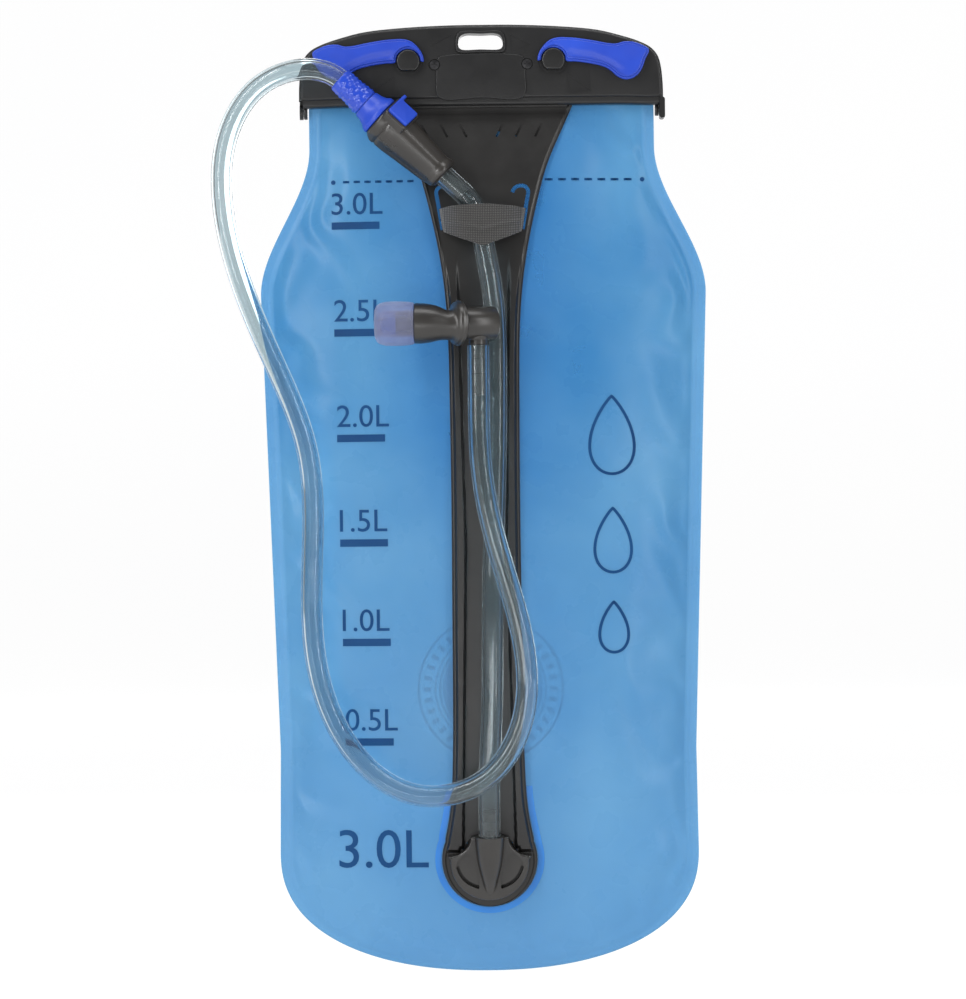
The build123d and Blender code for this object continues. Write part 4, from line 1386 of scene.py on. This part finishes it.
def feed_points():
    """Centre line of the feed tube, from the outlet up to the connector."""
    foot = PORT @ Vector((0, 12.2, TUBE_OFFSET))
    up = (PORT.to_3x3() @ Vector((0, 1, 0))).normalized()
    top = CONNECTOR_FOOT - CONNECTOR_AXIS * 0.4
    points = [foot + up * d for d in (0, 3.25, 6.5, 9.75, 13)]
    for x, z in ((1.7, -290), (2.6, -240), (4.4, -190), (5.3, -145), (4.2, -112), (0.4, -89)):
        points.append(Vector((x, -(bulge(z) + TUBE_OFFSET), z)))
    points += [top - CONNECTOR_AXIS * d for d in (12.5, 9.375, 6.25, 3.125, 0)]
    return spline_points([tuple(p) for p in points], 2.0)


def drink_points():
    """Centre line of the drink tube, from the plug round to the bite valve."""
    start = CONNECTOR_FOOT + CONNECTOR_AXIS * 46.6
    end = Vector((VALVE_CENTRE.x, VALVE_CENTRE.y, -134.0))
    points = [start + CONNECTOR_AXIS * d for d in (0, 3.75, 7.5, 11.25, 15)]
    points += [Vector(p) for p in (
        (-70.5, -20.2, -12.6), (-82.0, -19.0, -12.6), (-98.0, -17.0, -20.0), (-111.0, -16.0, -41.0),
        (-113.4, -16.0, -68.0), (-106.5, -16.2, -102.0), (-92.0, -17.5, -139.0), (-78.0, -19.0, -177.0),
        (-75.9, -18.0, -222.0), (-74.6, -17.5, -272.0), (-60.0, -22.0, -308.5), (-30.0, -31.5, -328.6),
        (-2.0, -35.8, -322.0), (14.6, -36.6, -297.0), (14.2, -36.9, -256.0), (4.2, -37.2, -219.0),
        (-1.6, -37.4, -188.0))]
    points += [end - Vector((0, 0, 1)) * d for d in (22, 16.5, 11, 5.5, 0)]
    return spline_points([tuple(p) for p in points], 2.0)


def build_tubes():
    """Both clear tubes, each with its bore."""
    feed = hollow_tube("feed_tube_clear", feed_points(), TUBE_R, BORE_R, TUBE)
    place_piece(feed, "reservoir", "feed_tube")
    drink = hollow_tube("drink_tube_clear", drink_points(), TUBE_R, BORE_R, TUBE)
    place_piece(drink, "hose", "drink_tube")


# ---------------------------------------------------------------- strap

STRAP_TOP = -73.4
STRAP_LOW = -83.2
STRAP_HALF = 19.0
STRAP_POINT = 7.0
STRAP_THICK = 1.25
STITCHED = 0.93
THREAD_ACROSS = 0.9
THREAD_UP = 0.8


def strap_depth(x, z, half):
    """Inner depth of the strap: over the tube in the middle, down to the panel beside it."""
    tube_x = -7.0 + 6.4 * (z + 73.0) / -13.0
    span = half + tube_x if x < tube_x else half - tube_x
    reach = min(abs(x - tube_x) / span, 1.0)
    base = bulge(z) + 3.1
    crest = -CONNECTOR_FOOT.y + TUBE_R + 0.9
    return crest + (base - crest) * reach ** 2.4


def build_strap():
    """Webbing over the tube: woven relief, top edge arched, lower edge drawn to a point."""
    columns, rows = 150, 60
    front, back = [], []
    for r in range(rows + 1):
        v = r / rows
        for c in range(columns + 1):
            u = 2.0 * c / columns - 1.0
            top = STRAP_TOP + 1.4 * (1 - u * u)
            low = STRAP_LOW - STRAP_POINT * (1 - abs(u)) ** 0.85
            z = top + (low - top) * v
            half = STRAP_HALF + 0.16 * (max(z, STRAP_LOW) - STRAP_TOP)
            x = half * u
            depth = strap_depth(x, z, half)
            if abs(u) > STITCHED:
                depth -= 3.4 * (abs(u) - STITCHED) / (1.0 - STITCHED)
            pleat = 0.5 * math.exp(-((v - 0.52 - 0.1 * (1 - abs(u))) / 0.06) ** 2)
            threads = math.sin(x * 2 * math.pi / THREAD_ACROSS) * math.sin(z * 2 * math.pi / THREAD_UP)
            front.append((x, -(depth + STRAP_THICK + 0.07 * threads + pleat), z))
            back.append((x, -depth, z))
    grid = ring_faces(rows + 1, columns + 1, closed=False)
    strap = new_object("strap_webbing", front + back, shell_faces(grid, len(front)), WEBBING)
    place_piece(strap, "reservoir", "tube_strap")


# ---------------------------------------------------------------- connector

def connector_matrix():
    """Local frame of the connector: Z along the plug's way out, X to the upper right."""
    depth = CONNECTOR_AXIS.cross(CONNECTOR_SIDE)
    return axes_at(CONNECTOR_FOOT, CONNECTOR_SIDE, depth, CONNECTOR_AXIS)


CONNECTOR = connector_matrix()


def button_matrix():
    """Local frame of the button: Y points into the socket, Z along the socket."""
    out = Vector((1, -1, 0)).normalized()
    along = Vector((0, 0, 1))
    return CONNECTOR @ axes_at((0, 0, 0), (-out).cross(along), -out, along)


BUTTON = button_matrix()


SOCKET_LENGTH = 37.0
FOOT_ROUND = 0.9
MOUTH_ROUND = 36.2
BUTTON_MID = 31.0


def socket_radius(s):
    """Radius of the socket at distance s from its foot."""
    marks = (0, 0.6, 2.8, 3.2, 6, 20, 27, 31.4, 31.8, 32.6, 33.0, 37)
    radii = (6.5, 7.2, 7.3, 6.7, 6.9, 8.3, 9.1, 9.3, 8.9, 8.9, 9.5, 9.6)
    radius = float(np.interp(s, marks, radii))
    if s < FOOT_ROUND:
        radius -= 0.5 * (1 - math.sqrt(max(1 - (1 - s / FOOT_ROUND) ** 2, 0)))
    if s > MOUTH_ROUND:
        radius -= 0.4 * ((s - MOUTH_ROUND) / 0.8) ** 2
    return radius


def socket_body():
    """Solid tapered body with five soft facets and a keel on one side."""
    sides = 96
    heights = [0.0, 0.35, FOOT_ROUND] + [2 + k for k in range(34)] + [MOUTH_ROUND, 36.7, SOCKET_LENGTH]
    verts = []
    for s in heights:
        base = socket_radius(s)
        ease = smooth(s / 6.0) * smooth((37.5 - s) / 4.0)
        for i in range(sides):
            a = 2 * math.pi * i / sides
            from_keel = abs(math.atan2(math.sin(a - math.pi), math.cos(a - math.pi)))
            keel = 1.5 * math.exp(-(from_keel / 0.24) ** 2)
            r = base + 0.176 * math.cos(5 * a + 0.6) + keel * ease
            verts.append(CONNECTOR @ Vector((r * math.cos(a), r * math.sin(a), s)))
    n = len(heights)
    faces = ring_faces(n, sides) + [tuple(range(sides)), tuple(range((n - 1) * sides, n * sides))]
    return new_object("socket_shell", verts, faces, SOCKET, 50)


def button_prism(outline, front, back):
    """Cutter along the button's travel."""
    return cutter(*([BUTTON @ Vector((x, depth, z)) for x, z in outline] for depth in (front, back)))


def build_socket():
    """Socket with a raised guide, the plug's bore and the pockets of the button."""
    socket = socket_body()
    guide_line = rectangle(0, BUTTON_MID, 13.4, 11.9, 1.6)
    guide = rounded_plate("guide", guide_line, -10.6, -4.0, 0.8, SOCKET, 0.1, BUTTON)
    boolean(socket, [guide], "UNION")
    cuts = [
        lathe("bore", [(6.2, 13.8), (6.2, 40)], SOCKET, CONNECTOR, 64),
        lathe("throat", [(5.0, -1), (5.0, 14)], SOCKET, CONNECTOR, 64),
        button_prism(rectangle(0, BUTTON_MID, 10.8, 10.8, 1.3), -20, -7.4),
        button_prism(rectangle(0, BUTTON_MID, 5.3, 5.3, 0.4), -10, -3.0),
        button_prism(rectangle(7.0, 35.4, 5.2, 2.1, 0.3), -20, -7.4)]
    boolean(socket, cuts, sharp=40)
    place_piece(socket, "reservoir", "socket_body")


SPRING_SHIFTS = (-3.9, 3.9)
SPRING_R = 0.6
SPRING_WIRE_R = 0.12
SPRING_LOW = 7.62
SPRING_LENGTH = 3.1
SPRING_TURNS = 5


def build_button():
    """Release button: pad with a side tab, foot, and holes for the two springs."""
    shape = rounded_corners([
        (-5.2, 25.8), (5.2, 25.8), (5.2, 34.6), (8.7, 34.6), (8.7, 36.2), (-5.2, 36.2)], 1.1)
    pad = rounded_plate("button_pad", shape, -12.0, -9.7, 0.7, BLUE, 0.2, BUTTON)
    foot_line = rectangle(0, BUTTON_MID, 5.0, 5.0, 0.3)
    foot = rounded_plate("foot", foot_line, -10.2, -8.6, 0.1, BLUE, 0.1, BUTTON)
    boolean(pad, [foot], "UNION", sharp=40)
    holes = [circle(0, BUTTON_MID + shift, 0.95, 24) for shift in SPRING_SHIFTS]
    boolean(pad, [button_prism(hole, -11.0, -8.0) for hole in holes])
    place_piece(pad, "release_button", "release_button")


def spring_coil(shift):
    """One fine coil that stands off the pocket floor."""
    steps = 16
    points = []
    for k in range(SPRING_TURNS * steps + 1):
        a = 2 * math.pi * k / steps
        height = SPRING_LOW + SPRING_LENGTH * k / (SPRING_TURNS * steps)
        spot = Vector((SPRING_R * math.cos(a), -height, BUTTON_MID + shift + SPRING_R * math.sin(a)))
        points.append(BUTTON @ spot)
    return capped_tube("button_spring_pair", points, SPRING_WIRE_R, STEEL, 8)


def build_button_springs():
    """Two coils between the pocket floor and the button."""
    pair, extra = [spring_coil(shift) for shift in SPRING_SHIFTS]
    merge_shells(pair, extra)
    bpy.data.objects.remove(extra)
    place_piece(pair, "reservoir", "button_springs")
    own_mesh(pair)


def build_plug():
    """Nose, flange and cone, and the barb inside the tube, with a bore right through."""
    profile = [
        (2.4, 11.3), (3.4, 11.3), (3.4, 14.3), (6.1, 14.3), (6.1, 22.0), (4.75, 22.0), (4.75, 23.6),
        (6.1, 23.6), (6.1, 37.3), (8.9, 37.3), (9.3, 37.7), (9.3, 39.0), (9.0, 39.6), (7.9, 41.0),
        (7.1, 43.0), (6.7, 45.2), (6.4, 45.9), (3.15, 45.9), (2.8, 49.0), (3.15, 49.0), (2.8, 53.0),
        (3.15, 53.0), (2.7, 59.0), (2.4, 59.0), (2.4, 11.3)]
    plug = lathe("plug_body", profile, BLUE, CONNECTOR, 72, 30)
    place_piece(plug, "hose", "connector_plug")


SLEEVE_START = 46.1
SLEEVE_END = 61.5
SLEEVE_BORE_R = 4.85
DIMPLES_ROUND = 14
DIMPLE_ROWS = 6
DIMPLE_START = 48.0
DIMPLE_PITCH = 2.1


def sleeve_radius(s, a):
    """Outer radius of the sleeve at distance s and angle a, with staggered bumps."""
    base = 6.45 - 0.75 * smooth((s - SLEEVE_START) / 9.0)
    end = smooth((s - SLEEVE_START) / 0.6) * smooth((SLEEVE_END - s) / 0.6)
    row = (s - DIMPLE_START) / DIMPLE_PITCH
    nearest = round(row)
    column = a / (2 * math.pi) * DIMPLES_ROUND + (nearest % 2) * 0.5
    du = (column - round(column)) * 2 * math.pi * base / DIMPLES_ROUND
    dv = (row - nearest) * DIMPLE_PITCH
    bump = 0.32 * math.exp(-(du * du + dv * dv) / 0.32) if 0 <= nearest < DIMPLE_ROWS else 0.0
    return base + bump - 0.35 * (1 - end)


def build_sleeve():
    """Strain-relief sleeve over the end of the drink tube."""
    sides, rows = 144, 110
    outer, inner = [], []
    for k in range(rows + 1):
        s = SLEEVE_START + (SLEEVE_END - SLEEVE_START) * k / rows
        for i in range(sides):
            a = 2 * math.pi * i / sides
            for ring, r in ((outer, sleeve_radius(s, a)), (inner, SLEEVE_BORE_R)):
                ring.append(CONNECTOR @ Vector((r * math.cos(a), r * math.sin(a), s)))
    sleeve = new_object("dimpled_sleeve", outer + inner, tube_faces(rows + 1, sides), SLEEVE, 60)
    place_piece(sleeve, "hose", "strain_relief")


# ---------------------------------------------------------------- bite valve

def valve_matrix():
    """Local frame of the valve barrel: Z out towards the mouthpiece, X up."""
    out = Vector((-math.cos(VALVE_YAW), -math.sin(VALVE_YAW), 0))
    up = Vector((0, 0, 1))
    return axes_at(VALVE_CENTRE, up, out.cross(up), out)


VALVE = valve_matrix()
BEND = math.radians(24.0)
BEND_START = 10.75
BEND_R = 14.0
TAIL = 11.7


def build_barrel():
    """Cross barrel with the neck that holds the tube, and the elbow's well."""
    barrel = lathe("barrel_body", [
        (0.0, -7.75), (6.3, -7.75), (6.9, -7.5), (7.15, -6.9), (7.15, 6.6), (6.9, 7.2), (6.6, 7.75),
        (5.0, 7.75), (5.0, -5.15), (0.0, -5.15)], CHARCOAL, VALVE, 72)
    neck_place = Matrix.Translation((VALVE_CENTRE.x, VALVE_CENTRE.y, 0))
    neck = lathe("neck", [
        (0.0, -128.0), (4.6, -128.0), (4.2, -131.2), (3.9, -131.6), (3.9, -133.6), (3.15, -133.9),
        (2.8, -139.5), (3.15, -139.8), (2.8, -146.0), (3.15, -146.3), (2.5, -155.0), (0.0, -155.0)],
        CHARCOAL, neck_place, 48)
    boolean(barrel, [neck], "UNION", sharp=35)
    well = lathe("well", [(5.0, -5.15), (5.0, 9.0)], CHARCOAL, VALVE, 64)
    boolean(barrel, [well], sharp=35)
    place_piece(barrel, "hose", "valve_barrel")


BEND_END = Vector((0.0, BEND_R * (1 - math.cos(BEND)), BEND_START + BEND_R * math.sin(BEND)))
HEADING = Vector((0.0, math.sin(BEND), math.cos(BEND)))
ARC_LENGTH = BEND_R * BEND
PIPE_END = BEND_START + ARC_LENGTH + TAIL


def elbow_centre(d):
    """Point and turn angle at distance d along the bite elbow's centre line."""
    if d <= BEND_START:
        return Vector((0.0, 0.0, d)), 0.0
    turn = min((d - BEND_START) / BEND_R, BEND)
    spot = Vector((0.0, BEND_R * (1 - math.cos(turn)), BEND_START + BEND_R * math.sin(turn)))
    rest = max(d - BEND_START - ARC_LENGTH, 0.0)
    return spot + HEADING * rest, turn


def build_bite_elbow():
    """Bent pipe as one skin: hub in the barrel, collar, waist and swelling end."""
    skin = [
        (-0.1, 0.0), (-0.1, 4.9), (7.9, 4.9), (7.95, 9.2), (8.4, 9.8), (9.5, 9.8), (10.1, 9.3), (10.5, 9.3),
        (11.1, 8.9), (11.6, 7.6), (12.2, 6.9), (13.2, 6.5), (14.6, 6.5), (16.6, 7.0), (19.0, 7.7),
        (22.0, 8.4), (25.0, 8.75), (PIPE_END - 0.3, 8.8), (PIPE_END, 8.5), (PIPE_END, 5.5),
        (PIPE_END + 7.6, 5.5), (PIPE_END + 8.0, 5.1), (PIPE_END + 8.0, 0.0)]
    sides = 72
    frame_x = Vector((1, 0, 0))
    verts = []
    for d, radius in skin:
        spot, turn = elbow_centre(d)
        dip = 0.9 * math.exp(-((d - 14.0) / 2.6) ** 2)
        frame_y = Vector((0, math.cos(turn), -math.sin(turn)))
        for i in range(sides):
            angle = 2 * math.pi * i / sides
            across = frame_x * math.cos(angle) + frame_y * math.sin(angle)
            verts.append(VALVE @ (spot + across * radius - frame_x * dip))
    elbow = new_object("elbow_pipe", verts, ring_faces(len(skin), sides), CHARCOAL, 38)
    place_piece(elbow, "bite_elbow", "bite_elbow")


def build_mouthpiece():
    """Soft mouthpiece with a rounded tip and a drinking hole."""
    tip = VALVE @ Matrix.Translation(BEND_END + HEADING * TAIL) @ Matrix.Rotation(-BEND, 4, "X")
    mouth = lathe("mouthpiece_silicone", [
        (5.7, 0.15), (8.7, 0.15), (9.1, 0.8), (9.35, 2.4), (9.6, 6.0), (9.6, 10.0), (9.45, 12.6), (8.9, 14.8),
        (7.8, 16.3), (6.0, 17.1), (3.4, 17.35), (1.2, 17.3), (1.2, 15.8), (3.0, 15.7), (4.6, 15.2),
        (5.6, 13.8), (5.7, 12.0), (5.7, 0.15)], SILICONE, tip, 72, 60)
    place_piece(mouth, "bite_elbow", "bite_mouthpiece")


# ---------------------------------------------------------------- carried-over CAD nodes

def dress_cad_nodes():
    """Materials on the CAD nodes that stay visible."""
    choice = {
        "rear_jaw": BAR, "mouth_seal": RUBBER, "cover_screws": SCREW, "hinge_pins": STEEL,
        "port_flange": BLACK, "port_o_ring": RUBBER, "socket_tail": SOCKET, "valve_poppet": ACETAL,
        "poppet_o_ring": RUBBER, "poppet_spring": STEEL, "plug_o_ring": RUBBER, "elbow_o_ring": RUBBER}
    for name, material in choice.items():
        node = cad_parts[name]
        if not node.material_slots:
            node.data.materials.append(material)
        for slot in node.material_slots:
            slot.material = material


# ---------------------------------------------------------------- studio

FLOOR_Z = BODY_BOTTOM - 6.0
SWEEP_BEND_Y = 3200.0
SWEEP_BEND_R = 400.0
SWEEP_HALF = 3200.0
VIEW_WIDTH = 0.42504
VIEW_DISTANCE = 2.2
VIEW_TARGET = Vector((-0.0012, 0, -0.2006))
VIEW_LEAN = math.atan(0.0116)
SENSOR = 36.0


def build_backdrop():
    """Pale floor that sweeps up far behind the bag."""
    profile = [(-2600.0, FLOOR_Z), (0.0, FLOOR_Z), (SWEEP_BEND_Y, FLOOR_Z)]
    for k in range(1, 13):
        a = math.pi / 2 * k / 12
        y = SWEEP_BEND_Y + SWEEP_BEND_R * math.sin(a)
        profile.append((y, FLOOR_Z + SWEEP_BEND_R * (1 - math.cos(a))))
    profile.append((SWEEP_BEND_Y + SWEEP_BEND_R, 2400.0))
    verts = []
    for y, z in profile:
        verts += [(-SWEEP_HALF, y, z), (SWEEP_HALF, y, z)]
    faces = [(2 * k, 2 * k + 1, 2 * k + 3, 2 * k + 2) for k in range(len(profile) - 1)]
    n = Nodes("studio_white")
    shader = n.add("ShaderNodeBsdfPrincipled", Roughness=0.9)
    shader.inputs["Specular IOR Level"].default_value = 0.1
    n.link(n.ramp(n.noise(3.0), colour(104, 104, 106), colour(108, 108, 108)), shader.inputs["Base Color"])
    glow = n.add("ShaderNodeEmission", Strength=0.9)
    both = n.add("ShaderNodeAddShader")
    n.link(shader.outputs[0], both.inputs[0])
    n.link(glow.outputs[0], both.inputs[1])
    n.link(both.outputs[0], n.output.inputs["Surface"])
    new_object("studio_sweep", verts, faces, n.material)


def area_lamp(name, place, target, size, power):
    """Rectangular lamp aimed at a target, hidden from the camera."""
    lamp = bpy.data.lights.new(name, "AREA")
    lamp.shape = "RECTANGLE"
    lamp.size, lamp.size_y = size
    lamp.energy = power
    obj = bpy.data.objects.new(name, lamp)
    obj.location = place
    direction = Vector(target) - Vector(place)
    obj.rotation_euler = direction.to_track_quat("-Z", "Y").to_euler()
    obj.visible_camera = False
    bpy.context.scene.collection.objects.link(obj)


def build_lights():
    """Soft lamps round the bag, and a world that looks white but lights it dimly."""
    area_lamp("key", (-0.85, -1.0, 0.35), (0, 0, -0.2), (0.16, 1.3), 11.0)
    area_lamp("fill", (0.95, -1.05, 0.0), (0, 0, -0.2), (0.12, 1.4), 7.0)
    area_lamp("top", (0.0, -0.35, 0.9), (0, 0, -0.15), (1.0, 0.35), 5.0)
    area_lamp("back", (0.3, 1.0, 0.3), (0, 0, -0.2), (0.9, 0.9), 7.0)
    area_lamp("low", (-0.2, -0.9, -0.38), (0, 0, -0.2), (0.9, 0.12), 1.6)
    world = bpy.data.worlds.new("studio")
    world.use_nodes = True
    sky = world.node_tree.nodes["Background"]
    sky.inputs["Color"].default_value = (1, 1, 1, 1)
    rays = world.node_tree.nodes.new("ShaderNodeLightPath")
    power = world.node_tree.nodes.new("ShaderNodeMapRange")
    power.inputs["To Min"].default_value = 0.28
    power.inputs["To Max"].default_value = 0.97
    world.node_tree.links.new(rays.outputs["Is Camera Ray"], power.inputs["Value"])
    world.node_tree.links.new(power.outputs["Result"], sky.inputs["Strength"])
    bpy.context.scene.world = world


def build_camera():
    """Long-lens camera straight in front, leaning a little to one side."""
    right = Vector((math.cos(VIEW_LEAN), 0, -math.sin(VIEW_LEAN)))
    up = Vector((math.sin(VIEW_LEAN), 0, math.cos(VIEW_LEAN)))
    back = right.cross(up)
    lens = bpy.data.cameras.new("camera")
    lens.sensor_width = SENSOR
    lens.sensor_fit = "HORIZONTAL"
    lens.lens = SENSOR * VIEW_DISTANCE / VIEW_WIDTH
    lens.clip_end = 20.0
    camera = bpy.data.objects.new("camera", lens)
    camera.matrix_world = axes_at(VIEW_TARGET + back * VIEW_DISTANCE, right, up, back)
    bpy.context.scene.collection.objects.link(camera)
    bpy.context.scene.camera = camera
    bpy.context.scene.view_settings.view_transform = "Standard"


build_films()
build_scale()
build_fill_line()
build_drops()
build_badge()
build_front_jaw()
build_cover()
build_levers()
build_spine()
build_elbow()
build_weld_ring()
build_tubes()
build_strap()
build_socket()
build_button()
build_button_springs()
build_plug()
build_sleeve()
build_barrel()
build_bite_elbow()
build_mouthpiece()
dress_cad_nodes()
build_backdrop()
build_lights()
build_camera()
